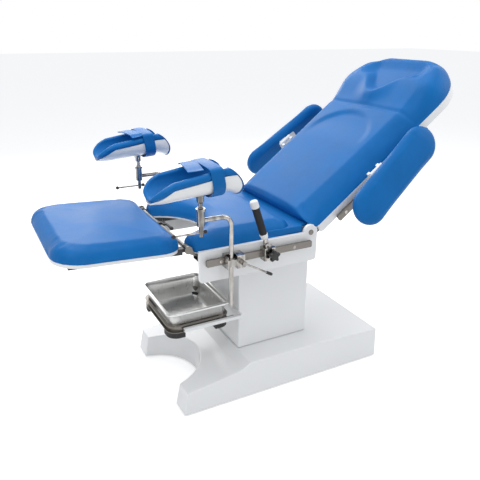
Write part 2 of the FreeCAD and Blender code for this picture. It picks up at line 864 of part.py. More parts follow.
def back_frame():
    """Two hinge arms, the cross tubes between them and the lug of the actuator."""
    low = -back_shell_wall - arm_height
    parts = []
    for side in (-1, 1):
        ends = sorted((side * arm_inner_y, side * arm_outer_y))
        parts.append(box((0, ends[0], low), (arm_length, ends[1], -back_shell_wall)))
        parts.append(rod((0, ends[0], 0), (0, ends[1], 0), arm_hub_radius))
    middle = low + arm_height / 2
    for s in back_cross_s:
        parts.append(rod((s, -arm_inner_y, middle), (s, arm_inner_y, middle), back_cross_radius))
    half = actuator_lug / 2
    lug = rod((actuator_eye_s, -half, actuator_eye_n), (actuator_eye_s, half, actuator_eye_n), actuator_eye_radius)
    parts.append(lug)
    frame = fused(parts)
    holes = [
        rod((0, -arm_outer_y - 1, 0), (0, -arm_inner_y + 1, 0), pivot_pin_radius + running_fit),
        rod((0, arm_inner_y - 1, 0), (0, arm_outer_y + 1, 0), pivot_pin_radius + running_fit),
    ]
    hole = rod((actuator_eye_s, -half - 0.5, actuator_eye_n), (actuator_eye_s, half + 0.5, actuator_eye_n),
               actuator_eye_hole)
    return tilt_back(frame.cut(holes + [hole]))


def back_outline(inset, n):
    return rounded_wire(back_low_s + inset, back_high_s - inset, back_half_width - inset, 12.0, back_corner - inset, n)


def back_shell():
    body = Part.Face(back_outline(0.0, -back_shell_height)).extrude(Vec(0, 0, back_shell_height))
    body = rounded(body, back_shell_edge, at_height(-back_shell_height))
    inner = Part.Face(back_outline(back_shell_wall, -back_shell_height - 1))
    inner = inner.extrude(Vec(0, 0, back_shell_height + 1 - back_shell_wall))
    mouth_y = back_half_width - back_shell_wall - 12.0
    mouth = box(
        (back_low_s - 1, -mouth_y, -back_shell_height - 1),
        (back_low_s + 20.0, mouth_y, -back_shell_wall))
    return tilt_back(body.cut([inner, mouth]))


def back_cushion():
    edge = back_cushion_edge
    bevel = back_cushion_bevel
    low = rounded_wire(back_low_s, back_high_s, back_half_width, 12.0, back_corner, 0)
    middle_low = back_low_s - back_low_undercut * edge / back_cushion_top
    middle = rounded_wire(middle_low, back_high_s, back_half_width, 12.0, back_corner, edge)
    top_low = back_low_s - back_low_undercut
    top = rounded_wire(top_low, back_high_s - bevel, back_half_width - bevel, 12.0, back_corner - bevel,
                       back_cushion_top)
    mattress = Part.makeLoft([low, middle, top], True, True)
    rise = rounded_wire(head_low_s, back_high_s, back_half_width, 40.0, back_corner, edge)
    head = rounded_wire(head_rise_s, back_high_s - head_bevel, back_half_width - head_bevel, 40.0,
                        back_corner - head_bevel, head_top)
    pillow = Part.makeLoft([rise, head], True, True)
    return tilt_back(fused([mattress, pillow]))


def back_rail():
    outer = back_rail_inner_y + rail_thickness
    screws = (back_rail_low_s + back_rail_screw_inset, back_rail_high_s - back_rail_screw_inset)
    return rail_bar(back_rail_low_s, back_rail_high_s, outer, back_rail_top_n - rail_height, screws)


def back_stand_offs():
    outer = back_rail_inner_y + rail_thickness
    near = [stand_off(s, back_rail_centre_n, back_half_width, outer)
            for s in (back_rail_low_s + back_rail_screw_inset, back_rail_high_s - back_rail_screw_inset)]
    return tilt_back(group(near + [mirrored(piece) for piece in near]))


def actuator_line():
    eye = Vec(actuator_eye_s, 0, actuator_eye_n)
    turn = FreeCAD.Rotation(across, -back_angle)
    end = turn.multVec(eye) + Vec(pivot_x, 0, pivot_z)
    start = Vec(actuator_foot_x, 0, actuator_foot_z)
    return start, end


def stand_on_line(shape):
    """Turns a piece drawn along +Z at the origin on to the actuator's own line."""
    start, end = actuator_line()
    moved = shape.copy()
    moved.rotate(Vec(0, 0, 0), across, math.degrees(math.atan2(end.x - start.x, end.z - start.z)))
    moved.translate(start)
    return moved


def actuator_bracket():
    """Two ears on the column's back that hold the foot pin of the actuator."""
    half = actuator_lug / 2 + running_fit
    ears = []
    for side in (-1, 1):
        ends = sorted((side * half, side * (half + actuator_cheek)))
        block = box(
            (shroud_x, ends[0], actuator_foot_z - actuator_foot_half),
            (actuator_foot_x, ends[1], actuator_foot_z + actuator_foot_half))
        nose = rod((actuator_foot_x, ends[0], actuator_foot_z), (actuator_foot_x, ends[1], actuator_foot_z),
                   actuator_foot_nose)
        ears.append(fused([block, nose]))
    plate_half = actuator_foot_plate_half
    plate = box(
        (shroud_x, -plate_half, actuator_foot_z - plate_half),
        (shroud_x + actuator_foot_plate, plate_half, actuator_foot_z + plate_half))
    pin_end = half + actuator_cheek + actuator_pin_end
    pin = rod(
        (actuator_foot_x, -pin_end, actuator_foot_z), (actuator_foot_x, pin_end, actuator_foot_z), actuator_pin_radius)
    return fused(ears + [plate, pin])


def back_actuator():
    """Tube with its gearbox and motor beside it, drawn along +Z from the foot pin."""
    half = actuator_lug / 2
    start = actuator_tube_start
    eye = rod((0, -half, 0), (0, half, 0), actuator_nose_radius)
    neck = box((-actuator_neck_half, -half, 0), (actuator_neck_half, half, actuator_neck_length))
    tube = rod((0, 0, start), (0, 0, actuator_tube_length), actuator_tube_radius)
    motor_y = actuator_tube_radius + actuator_motor_radius + actuator_motor_gap
    gearbox = box(
        (-actuator_box_half, -actuator_box_side, start),
        (actuator_box_half, motor_y + actuator_motor_radius + 1, actuator_box_top))
    gearbox = rounded(gearbox, 6.0, is_upright)
    motor = rod((0, motor_y, actuator_box_top - 1), (0, motor_y, actuator_box_top + actuator_motor_length),
                actuator_motor_radius)
    cap = rod((0, 0, actuator_tube_length - actuator_fork_floor), (0, 0, actuator_tube_length),
              actuator_tube_radius + 2.0)
    bore = rod((0, 0, actuator_bore_start), (0, 0, actuator_tube_length + 1), actuator_rod_radius + running_fit)
    hole = rod((0, -half - 1, 0), (0, half + 1, 0), actuator_pin_radius + running_fit)
    return stand_on_line(fused([eye, neck, tube, gearbox, motor, cap]).cut([bore, hole]))


def back_actuator_rod():
    """Rod with the fork whose pin rides in the wide eye under the back."""
    start, end = actuator_line()
    length = (end - start).Length
    inner = actuator_lug / 2 + actuator_fork_room
    outer = inner + actuator_cheek
    radius = actuator_fork_radius
    low = actuator_tube_length - actuator_rod_overlap
    floor = length - actuator_eye_radius - actuator_fork_gap
    stem = rod((0, 0, low), (0, 0, floor + actuator_fork_floor - 2), actuator_rod_radius)
    yoke = box((-radius, -outer, floor), (radius, outer, floor + actuator_fork_floor))
    pieces = [stem, yoke]
    for side in (-1, 1):
        ends = sorted((side * inner, side * outer))
        pieces.append(box((-radius, ends[0], floor), (radius, ends[1], length)))
        pieces.append(rod((0, ends[0], length), (0, ends[1], length), radius))
    pin_end = outer + actuator_pin_end
    pieces.append(rod((0, -pin_end, length), (0, pin_end, length), actuator_pin_radius))
    return stand_on_line(fused(pieces))


def jaw_profile(front_y, inner_y, outer_y, low_z, high_z, rail_low):
    """C-shaped jaw round a rail, drawn in the YZ plane with the near side at -Y."""
    top = rail_low + rail_height
    back_y = inner_y - jaw_play - jaw_lip_thickness
    lip_y = inner_y - jaw_play
    face_y = outer_y + rail_screw_proud + jaw_play
    return [
        (0, -front_y, low_z),
        (0, -back_y, low_z),
        (0, -back_y, rail_low + jaw_lip),
        (0, -lip_y, rail_low + jaw_lip),
        (0, -lip_y, rail_low - jaw_play),
        (0, -face_y, rail_low - jaw_play),
        (0, -face_y, top + jaw_play),
        (0, -lip_y, top + jaw_play),
        (0, -lip_y, top - jaw_lip),
        (0, -back_y, top - jaw_lip),
        (0, -back_y, high_z),
        (0, -front_y, high_z),
    ]


def jaw_block(low_x, high_x, front_y, inner_y, low_z, high_z, rail_low):
    outline = jaw_profile(front_y, inner_y, inner_y + rail_thickness, low_z, high_z, rail_low)
    block = prism([(low_x, y, z) for _, y, z in outline], (high_x - low_x, 0, 0))
    return rounded(block, 3.0, lambda e: is_upright(e) and all(abs(v.Y + front_y) < 0.01 for v in e.Vertexes))


def leg_clamp():
    block = jaw_block(clamp_foot_x, clamp_head_x, clamp_front_y, rail_inner_y, clamp_bottom_z, clamp_top_z,
                      rail_bottom_z)
    bore = rod((pole_x, -pole_y, clamp_bottom_z - 1), (pole_x, -pole_y, clamp_top_z + 1), bush_radius + running_fit)
    screw = rod(
        (lever_x, -clamp_front_y - 1, lever_z),
        (lever_x, -clamp_front_y + lever_screw_depth, lever_z),
        lever_screw_radius + running_fit)
    pockets = [box(
        (pole_x - clamp_pocket, -clamp_front_y - 1, low),
        (pole_x + clamp_pocket, -pole_y + bush_flange_radius + clamp_pocket_play, high))
        for low, high in ((clamp_bottom_z - 1, lever_z - bush_half_height),
                          (lever_z + bush_half_height, clamp_top_z + 1))]
    return block.cut([bore, screw] + pockets)


def clamp_bush():
    """Split ring that holds the pole at the middle of the clamp."""
    top_z = lever_z + bush_half_height
    sleeve = rod((pole_x, -pole_y, lever_z - bush_half_height), (pole_x, -pole_y, top_z), bush_radius)
    flange = rod((pole_x, -pole_y, top_z), (pole_x, -pole_y, top_z + bush_flange), bush_flange_radius)
    bore = rod((pole_x, -pole_y, clamp_bottom_z - 9), (pole_x, -pole_y, clamp_top_z + 9), pole_radius + running_fit)
    return fused([sleeve, flange]).cut(bore)


def clamp_lever():
    face = -clamp_front_y - soft_gap
    screw = rod((lever_x, face, lever_z), (lever_x, -clamp_front_y + lever_screw_depth - 1, lever_z),
                lever_screw_radius)
    hub = rod((lever_x, face - lever_hub_length, lever_z), (lever_x, face, lever_z), lever_hub_radius)
    hub = rounded(hub, 2.0, lambda e: e.Closed and abs(e.Vertexes[0].Y - face + lever_hub_length) < 0.01)
    slope = math.radians(lever_angle)
    y = face - lever_hub_length / 2

    def reach(distance):
        return (lever_x + distance * math.cos(slope), y, lever_z + distance * math.sin(slope))
    handle = rod(reach(0), reach(lever_length), lever_rod_radius)
    tip = rod(reach(lever_length - lever_tip_length), reach(lever_length), lever_tip_radius)
    return fused([screw, hub, handle, tip])


def leg_pole():
    """Round bar bent once, with the socket welded to its end."""
    y = -pole_y
    bend_z = pole_arm_z - pole_bend
    bend_x = pole_x - pole_bend
    corner = pole_bend * math.sqrt(0.5)
    path = Part.Wire([
        Part.makeLine(Vec(pole_x, y, pole_tip_z + pole_tip), Vec(pole_x, y, bend_z)),
        Part.Arc(Vec(pole_x, y, bend_z), Vec(bend_x + corner, y, bend_z + corner),
                 Vec(bend_x, y, pole_arm_z)).toShape(),
        Part.makeLine(Vec(bend_x, y, pole_arm_z), Vec(socket_x + socket_radius / 2, y, pole_arm_z)),
    ])
    section = Part.Wire([Part.makeCircle(pole_radius, Vec(pole_x, y, pole_tip_z + pole_tip), upward)])
    bar = path.makePipeShell([section], True, False)
    tip = Part.makeCone(pole_radius / 4, pole_radius, pole_tip, Vec(pole_x, y, pole_tip_z))
    sleeve = rod((socket_x, y, socket_bottom_z), (socket_x, y, socket_top_z), socket_radius)
    flange = rod((socket_x, y, socket_top_z - socket_flange), (socket_x, y, socket_top_z), socket_flange_radius)
    bore = rod((socket_x, y, socket_bottom_z - 1), (socket_x, y, socket_top_z + 1), post_radius + running_fit)
    return fused([bar, tip, sleeve, flange]).cut(bore)


def calf_post():
    y = -pole_y
    post = rod((socket_x, y, post_bottom_z), (socket_x, y, ball_z), post_radius)
    collar = rod((socket_x, y, socket_top_z + running_fit), (socket_x, y, socket_top_z + 5), post_radius + 2.5)
    ball = Part.makeSphere(ball_radius, Vec(socket_x, y, ball_z))
    hole = rod((socket_x - 20, y, tommy_z), (socket_x + 20, y, tommy_z), tommy_radius + running_fit)
    return fused([post, collar, ball]).cut(hole)


def tommy_bar():
    y = -pole_y
    low = socket_x - tommy_foot
    high = socket_x + tommy_head
    bar = rod((low, y, tommy_z), (high, y, tommy_z), tommy_radius)
    balls = [Part.makeSphere(tommy_ball, Vec(x, y, tommy_z), along) for x in (low, high)]
    return fused([bar] + balls)


def trough_wire(u, half_width, bottom, rim, wall_in):
    """U-shaped section at station u: the outer line, the rims and the inner line, as one closed wire."""
    outer = half_width - wall_in[0]
    inner = half_width - wall_in[1]
    low_outer = bottom + wall_in[0]
    low_inner = bottom + wall_in[1]
    spring = low_outer + outer * 0.75
    x = u

    def arc(radius, low, left_to_right):
        side = -1 if left_to_right else 1
        start = Vec(x, side * radius, spring)
        end = Vec(x, -side * radius, spring)
        return Part.Arc(start, Vec(x, 0, low), end).toShape()
    points = {
        "outer_left": Vec(x, -outer, rim),
        "outer_right": Vec(x, outer, rim),
        "inner_right": Vec(x, inner, rim),
        "inner_left": Vec(x, -inner, rim),
    }
    edges = [
        Part.makeLine(points["outer_left"], Vec(x, -outer, spring)),
        arc(outer, low_outer, True),
        Part.makeLine(Vec(x, outer, spring), points["outer_right"]),
        Part.makeLine(points["outer_right"], points["inner_right"]),
        Part.makeLine(points["inner_right"], Vec(x, inner, spring)),
        arc(inner, low_inner, False),
        Part.makeLine(Vec(x, -inner, spring), points["inner_left"]),
        Part.makeLine(points["inner_left"], points["outer_left"]),
    ]
    return Part.Wire(edges)


def rim_height(u):
    """Height of the pad's rim at station u: it rises from the foot end to the straight part's end."""
    share = (u - calf_foot_u) / (calf_straight_u - calf_foot_u)
    return calf_foot_rim_w + (calf_rim_w - calf_foot_rim_w) * min(share, 1.0)


def trough(wall_in, foot_reach):
    """Calf trough as a ruled loft with a flared knee end, its foot end cut to a scooped nose."""
    foot = calf_foot_u - foot_reach
    stations = [
        (foot, 0.0, 0.0),
        (calf_straight_u, 0.0, 0.0),
        (calf_throat_u, calf_throat, calf_throat),
        (calf_knee_u, calf_flare, calf_flare),
    ]
    wires = [trough_wire(u, calf_half_width + grow, calf_bottom_w - drop, rim_height(u), wall_in)
             for u, grow, drop in stations]
    body = Part.makeLoft(wires, True, True)
    reach = calf_half_width + 2 * calf_flare
    low = calf_bottom_w - 2 * calf_flare
    top = calf_rim_w + 2 * calf_flare
    nose = Part.Arc(
        Vec(foot, -reach, calf_bottom_w),
        Vec(foot + calf_foot_shoulder, -reach, (calf_bottom_w + calf_foot_rim_w) / 2 + calf_foot_shoulder),
        Vec(foot + calf_foot_kink, -reach, top)).toShape()
    corners = [Vec(foot + calf_foot_kink, -reach, top), Vec(foot - 1, -reach, top), Vec(foot - 1, -reach, low),
               Vec(foot, -reach, low), Vec(foot, -reach, calf_bottom_w)]
    outline = Part.Wire([nose] + [Part.makeLine(a, b) for a, b in zip(corners, corners[1:])])
    front = Part.Face(outline).extrude(Vec(0, 2 * reach, 0))
    knee = prism([
        (calf_knee_u, -reach, low), (calf_knee_u + 1, -reach, low), (calf_knee_u + 1, -reach, top),
        (calf_knee_u - calf_knee_lean, -reach, top)], (0, 2 * reach, 0))
    return body.cut([front, knee])


def place_calf(shape):
    moved = shape.copy()
    moved.rotate(Vec(0, 0, 0), across, -calf_rise)
    moved.translate(Vec(socket_x, -pole_y, ball_z))
    return moved


def above_rim(drop):
    """Room over a line that runs drop below the pad's rim."""
    reach = calf_half_width + 2 * calf_flare
    foot = calf_foot_u - calf_pad_foot - 1
    top = calf_rim_w + calf_flare
    return prism([
        (foot, -reach, rim_height(foot) - drop), (calf_straight_u, -reach, calf_rim_w - drop),
        (calf_knee_u + 1, -reach, calf_rim_w - drop), (calf_knee_u + 1, -reach, top),
        (foot, -reach, top)], (0, 2 * reach, 0))


def calf_shell():
    """Moulded cover under the pad, with the cup that turns on the post's ball."""
    shell = trough((0.0, calf_shell_wall), 0.0).cut(above_rim(calf_shell_drop))
    cup = rod((0, 0, -cup_depth / 2), (0, 0, calf_bottom_w + calf_shell_wall - 1.0), cup_radius)
    cup = cup.cut(Part.makeSphere(ball_radius + ball_play, Vec(0, 0, 0)))
    return place_calf(fused([shell, cup]))


def calf_pad():
    """Padding of the trough, with a lip that rests over the cover's edge."""
    inner = calf_shell_wall + soft_gap + calf_pad_wall
    lining = trough((calf_shell_wall + soft_gap, inner), calf_pad_foot)
    lip = trough((0.0, inner), calf_pad_foot).common(above_rim(calf_shell_drop - soft_gap))
    return place_calf(fused([lining, lip]))


def strap_loop(gap, u, length):
    """Solid inside the strap's closed line, gap away from the calf rest."""
    half = calf_half_width + gap
    low = calf_bottom_w - gap
    spring = low + half * 0.75
    edges = [
        Part.Arc(Vec(u, -half, spring), Vec(u, 0, low), Vec(u, half, spring)).toShape(),
        Part.makeLine(Vec(u, half, spring), Vec(u, half, calf_rim_w)),
        Part.Arc(Vec(u, half, calf_rim_w), Vec(u, 0, calf_rim_w + gap + strap_arch),
                 Vec(u, -half, calf_rim_w)).toShape(),
        Part.makeLine(Vec(u, -half, calf_rim_w), Vec(u, -half, spring)),
    ]
    return Part.Face(Part.Wire(edges)).extrude(Vec(length, 0, 0))


def calf_strap():
    length = strap_high_u - strap_low_u
    outer = strap_loop(soft_gap + strap_thickness, strap_low_u, length)
    inner = strap_loop(soft_gap, strap_low_u - 1, length + 2)
    return place_calf(outer.cut(inner))


def armrest_place(shape):
    """Turns a piece drawn flat with its outer face up to the pad's own roll and splay, beside the near rail."""
    moved = shape.copy()
    moved.rotate(Vec(0, 0, 0), along, armrest_roll)
    moved.rotate(Vec(0, 0, 0), upward, armrest_splay)
    moved.translate(Vec(armrest_s, -armrest_y, armrest_n))
    return moved


def arm_pad():
    half_length = armrest_length / 2
    half = armrest_width / 2
    low = -armrest_thickness / 2
    wire = rounded_wire(-half_length, half_length, half, half - 0.5, half - 0.5, low)
    body = Part.Face(wire).extrude(Vec(0, 0, armrest_thickness))
    body = rounded(body, armrest_edge, at_height(low))
    body = rounded(body, armrest_edge, at_height(-low))
    return armrest_place(body)


def arm_clamp():
    """Jaw on the back rail with an upright that carries the arm rest's hinge pin."""
    low_s = arm_clamp_s - arm_clamp_length / 2
    high_s = arm_clamp_s + arm_clamp_length / 2
    low_n = back_rail_top_n - rail_height - 8
    front = back_rail_inner_y + rail_thickness + 8
    block = jaw_block(low_s, high_s, front, back_rail_inner_y, low_n, back_rail_top_n + 8,
                      back_rail_top_n - rail_height)
    upright = box(
        (low_s, -front, back_rail_top_n + 2), (low_s + 12, -back_rail_inner_y - 3, arm_hinge_n))
    upper = upright.copy()
    upper.translate(Vec(arm_clamp_length - 12, 0, 0))
    boss = rod((low_s, -arm_hinge_y, arm_hinge_n), (low_s + 12, -arm_hinge_y, arm_hinge_n), arm_hinge_radius)
    boss_upper = rod((high_s - 12, -arm_hinge_y, arm_hinge_n), (high_s, -arm_hinge_y, arm_hinge_n), arm_hinge_radius)
    web = box((low_s, -arm_hinge_y, arm_hinge_n - arm_hinge_radius),
              (low_s + 12, -back_rail_inner_y - 3, arm_hinge_n))
    web_upper = web.copy()
    web_upper.translate(Vec(arm_clamp_length - 12, 0, 0))
    pin = rod((low_s - 3, -arm_hinge_y, arm_hinge_n), (high_s + 3, -arm_hinge_y, arm_hinge_n), arm_hinge_pin)
    return fused([block, upright, upper, boss, boss_upper, web, web_upper, pin])


def arm_bracket():
    """Plate screwed to the pad's inner face, with the knuckle that turns on the clamp's pin."""
    low = -armrest_thickness / 2 - arm_plate
    middle = arm_plate_high
    plate = box(
        (-arm_plate_length / 2, middle - arm_plate_width / 2, low),
        (arm_plate_length / 2, middle + arm_plate_width / 2, low + arm_plate))
    plate = armrest_place(rounded(plate, 8.0, lambda e: is_upright(e)))
    start = arm_clamp_s - arm_clamp_length / 2 + 12 + soft_gap
    end = arm_clamp_s + arm_clamp_length / 2 - 12 - soft_gap
    knuckle = rod((start, -arm_hinge_y, arm_hinge_n), (end, -arm_hinge_y, arm_hinge_n), arm_hinge_radius)
    reach = armrest_y - armrest_thickness / 2
    web = prism([
        (start, -arm_hinge_y, arm_hinge_n - arm_hinge_radius),
        (start, -arm_hinge_y, arm_hinge_n),
        (start, -reach + 6, arm_hinge_n),
        (start, -reach + 3, arm_hinge_n - arm_hinge_radius)], (end - start, 0, 0))
    piece = fused([plate, knuckle, web])
    pad_side = armrest_place(box(
        (-armrest_length, -armrest_width, -armrest_thickness / 2),
        (armrest_length, armrest_width, armrest_width)))
    hole = rod((start - 1, -arm_hinge_y, arm_hinge_n), (end + 1, -arm_hinge_y, arm_hinge_n),
               arm_hinge_pin + running_fit)
    return piece.cut([pad_side, hole])


def grip_clamp():
    block = jaw_block(grip_clamp_foot_x, grip_clamp_head_x, grip_clamp_front_y, rail_inner_y, clamp_bottom_z,
                      clamp_top_z, rail_bottom_z)
    fork = []
    for side in (-1, 1):
        y = -grip_y + side * 8.0
        fork.append(box((grip_x - 9, y - 2.5, clamp_top_z - 1), (grip_x + 9, y + 2.5, grip_pivot_z)))
        fork.append(rod((grip_x, y - 2.5, grip_pivot_z), (grip_x, y + 2.5, grip_pivot_z), grip_ball_radius))
    pin = rod((grip_x, -grip_y - 11, grip_pivot_z), (grip_x, -grip_y + 11, grip_pivot_z), 3.5)
    screw = rod((knob_x, -grip_clamp_front_y - 1, knob_z), (knob_x, -grip_clamp_front_y + 16, knob_z), 4 + running_fit)
    return fused([block, pin] + fork).cut(screw)


def grip_knob():
    face = -grip_clamp_front_y - soft_gap
    screw = rod((knob_x, face, knob_z), (knob_x, -grip_clamp_front_y + 15, knob_z), 4)
    neck = rod((knob_x, face - knob_neck, knob_z), (knob_x, face, knob_z), knob_radius / 2)
    star = [rod((knob_x, face - knob_neck - knob_thickness, knob_z), (knob_x, face - knob_neck, knob_z), knob_radius)]
    for index in range(knob_lobes):
        turn = 2 * math.pi * index / knob_lobes + math.pi / 2
        x = knob_x + knob_radius * math.cos(turn)
        z = knob_z + knob_radius * math.sin(turn)
        star.append(rod((x, face - knob_neck - knob_thickness, z), (x, face - knob_neck, z), knob_lobe_radius))
    return fused([screw, neck] + star)


def hand_grip():
    """Handle drawn upright about its pivot and leant towards the foot end."""
    low_cap = grip_neck + grip_cap_low
    sleeve_end = low_cap + grip_sleeve
    top = sleeve_end + grip_cap_top
    eye = rod((0, -5.2, 0), (0, 5.2, 0), grip_ball_radius)
    neck = Part.makeCone(5.2, grip_radius - 2, grip_neck, Vec(0, 0, 0))
    neck = neck.common(rod((0, 0, 0), (0, 0, grip_neck), grip_radius))
    lower = rod((0, 0, grip_neck), (0, 0, low_cap), grip_cap_radius)
    sleeve = rod((0, 0, low_cap), (0, 0, sleeve_end), grip_radius)
    upper = rod((0, 0, sleeve_end), (0, 0, top), grip_cap_radius)
    upper = rounded(upper, 4.0, at_height(top))
    handle = fused([eye, neck, lower, sleeve, upper])
    fork_room = [box((-14, -14, -12), (14, -5.2, 13)), box((-14, 5.2, -12), (14, 14, 13))]
    handle = handle.cut(fork_room + [rod((0, -20, 0), (0, 20, 0), 3.5 + running_fit)])
    handle.rotate(Vec(0, 0, 0), across, -grip_lean)
    handle.translate(Vec(grip_x, -grip_y, grip_pivot_z))
    return handle


def pan_wire(half_x, half_y, corner, z):
    wire = rounded_wire(pan_x - half_x, pan_x + half_x, half_y, corner, corner, z)
    return wire


def pan_body(inset, low_z, high_z):
    top_x = pan_length / 2 - pan_flange - inset
    top_y = pan_width / 2 - pan_flange - inset
    floor_z = pan_rim_z - pan_depth

    def section(z):
        shrink = pan_draft * (pan_rim_z - z) / (pan_rim_z - floor_z)
        return pan_wire(top_x - shrink, top_y - shrink, pan_corner - inset, z)
    return Part.makeLoft([section(low_z), section(high_z)], True, True)


def drain_pan():
    floor_z = pan_rim_z - pan_depth
    body = pan_body(0.0, floor_z, pan_rim_z)
    body = rounded(body, 14.0, at_height(floor_z))
    rim = Part.Face(pan_wire(pan_length / 2, pan_width / 2, 24.0, pan_rim_z - pan_lip)).extrude(Vec(0, 0, pan_lip))
    under = Part.Face(pan_wire(pan_length / 2 - pan_sheet, pan_width / 2 - pan_sheet, 24.0 - pan_sheet,
                               pan_rim_z - pan_lip - 1)).extrude(Vec(0, 0, pan_lip + 1 - pan_sheet))
    skirt = rim.cut(under)
    inside = pan_body(pan_sheet, floor_z + pan_sheet, pan_rim_z + 1)
    inside = rounded(inside, 14.0 - pan_sheet, at_height(floor_z + pan_sheet))
    return fused([body, skirt]).cut(inside)


def carrier_half():
    top_z = carrier_bottom_z + carrier_height
    shrink = pan_draft * (pan_rim_z - top_z) / pan_depth
    half_x = pan_length / 2 - pan_flange - shrink + carrier_play
    half_y = pan_width / 2 - pan_flange - shrink + carrier_play
    return half_x, half_y


def tray_carrier():
    """Ring of outward-facing channel round the pan, with the slide tongues on both sides."""
    half_x, half_y = carrier_half()
    ring = Part.Face(pan_wire(half_x + carrier_channel, half_y + carrier_channel, pan_corner, carrier_bottom_z))
    ring = ring.extrude(Vec(0, 0, carrier_height))
    hole = Part.Face(pan_wire(half_x, half_y, pan_corner, carrier_bottom_z - 1)).extrude(Vec(0, 0, carrier_height + 2))
    web = carrier_sheet
    groove_z = carrier_bottom_z + web
    groove_height = carrier_height - 2 * web
    groove = Part.Face(pan_wire(half_x + carrier_channel + 1, half_y + carrier_channel + 1, pan_corner, groove_z))
    groove = groove.extrude(Vec(0, 0, groove_height))
    core = Part.Face(pan_wire(half_x + web, half_y + web, pan_corner, groove_z)).extrude(Vec(0, 0, groove_height))
    ring = ring.cut([groove.cut(core), hole])
    outer_y = half_y + carrier_channel + tongue_width
    middle = carrier_bottom_z + carrier_height / 2
    tongues = []
    for side in (-1, 1):
        ends = sorted((side * (half_y + web / 2), side * outer_y))
        tongues.append(box(
            (pan_x - half_x + pan_corner, ends[0], middle - tongue_thickness / 2),
            (tongue_head_x, ends[1], middle + tongue_thickness / 2)))
    return fused([ring] + tongues)


def tray_runners():
    """Grooved runners on a plate across the column's foot face."""
    half_x, half_y = carrier_half()
    middle = carrier_bottom_z + carrier_height / 2
    inner = half_y + carrier_channel + 1.0
    tip = half_y + carrier_channel + tongue_width + runner_play
    outer = tip + runner_wall
    half_groove = tongue_thickness / 2 + runner_play
    half_height = half_groove + runner_wall
    pieces = [box(
        (-shroud_x - runner_plate, -outer, middle - half_height - 6),
        (-shroud_x, outer, middle + half_height + 6))]
    for side in (-1, 1):
        ends = sorted((side * inner, side * outer))
        groove = sorted((side * (inner - 1), side * tip))
        bar = box((runner_foot_x, ends[0], middle - half_height), (-shroud_x, ends[1], middle + half_height))
        slot = box(
            (runner_foot_x - 1, groove[0], middle - half_groove),
            (-shroud_x - runner_plate, groove[1], middle + half_groove))
        pieces.append(bar.cut(slot))
    return fused(pieces)


def corner_rubbers():
    """Rubber cups under the pan's four corners, held by the carrier ring."""
    half_x, half_y = carrier_half()
    floor_z = pan_rim_z - pan_depth
    low_z = floor_z - rubber_floor - soft_gap
    block = Part.Face(pan_wire(half_x + carrier_channel - 2, half_y + carrier_channel - 2, pan_corner, low_z))
    block = block.extrude(Vec(0, 0, carrier_bottom_z - low_z))
    pan_room = pan_body(-soft_gap, floor_z - soft_gap, carrier_bottom_z + 1)
    block = block.cut(pan_room)
    reach = pan_corner + 10
    cups = []
    for side_x in (-1, 1):
        for side_y in (-1, 1):
            xs = sorted((pan_x + side_x * (half_x - reach), pan_x + side_x * (half_x + carrier_channel)))
            ys = sorted((side_y * (half_y - reach), side_y * (half_y + carrier_channel)))
            cups.append(block.common(box((xs[0], ys[0], low_z - 1), (xs[1], ys[1], carrier_bottom_z + 1))))
    return group(cups)


pieces = {
    "base_cover": base_cover(),
    "base_frame": base_frame(),
    "levelling_feet": levelling_feet(),
    "mains_inlet": mains_inlet(),
    "column_inner": column_inner(),
    "lift_motor": lift_motor(),
    "column_outer": column_outer(),
    "guide_pads": guide_pads(),
    "lift_rod": lift_rod(),
    "seat_frame": seat_frame(),
    "seat_board": seat_board(),
    "seat_cushion": seat_cushion(),
    "side_panel_near": side_panel(),
    "side_panel_far": mirrored(side_panel()),
    "pivot_pins": pivot_pins(),
    "side_rails": group([side_rail(), mirrored(side_rail())]),
    "side_rail_stand_offs": side_stand_offs(),
    "leg_hinge": leg_hinge(),
    "tray_runners": tray_runners(),
    "leg_frame": leg_frame(),
    "leg_board": leg_board(),
    "leg_cushion": leg_cushion(),
    "leg_lock_lever": leg_lock(),
    "back_frame": back_frame(),
    "back_shell": back_shell(),
    "back_cushion": back_cushion(),
    "back_rails": tilt_back(group([back_rail(), mirrored(back_rail())])),
    "back_rail_stand_offs": back_stand_offs(),
    "back_actuator": back_actuator(),
    "back_actuator_rod": back_actuator_rod(),
    "grip_clamp": grip_clamp(),
    "grip_knob": grip_knob(),
    "hand_grip": hand_grip(),
    "tray_carrier": tray_carrier(),
    "tray_corner_rubbers": corner_rubbers(),
    "drain_pan": drain_pan(),
}

leg_support = {
    "leg_clamp": leg_clamp(),
    "clamp_bush": clamp_bush(),
    "clamp_lever": clamp_lever(),
    "leg_pole": leg_pole(),
    "calf_post": calf_post(),
    "tommy_bar": tommy_bar(),
    "calf_shell": calf_shell(),
    "calf_pad": calf_pad(),
    "calf_strap": calf_strap(),
}
arm_rest = {
    "arm_clamp": arm_clamp(),
    "arm_bracket": arm_bracket(),
    "arm_pad": arm_pad(),
}
for name, shape in leg_support.items():
    pieces[name + "_near"] = shape
    pieces[name + "_far"] = mirrored(shape)
for name, shape in arm_rest.items():
    pieces[name + "_near"] = tilt_back(shape)
    pieces[name + "_far"] = tilt_back(mirrored(shape))

for name, shape in pieces.items():
    placed = shape.copy()
    placed.translate(Vec(column_x, 0, 0))
    placed.exportStep("parts/" + name + ".step")
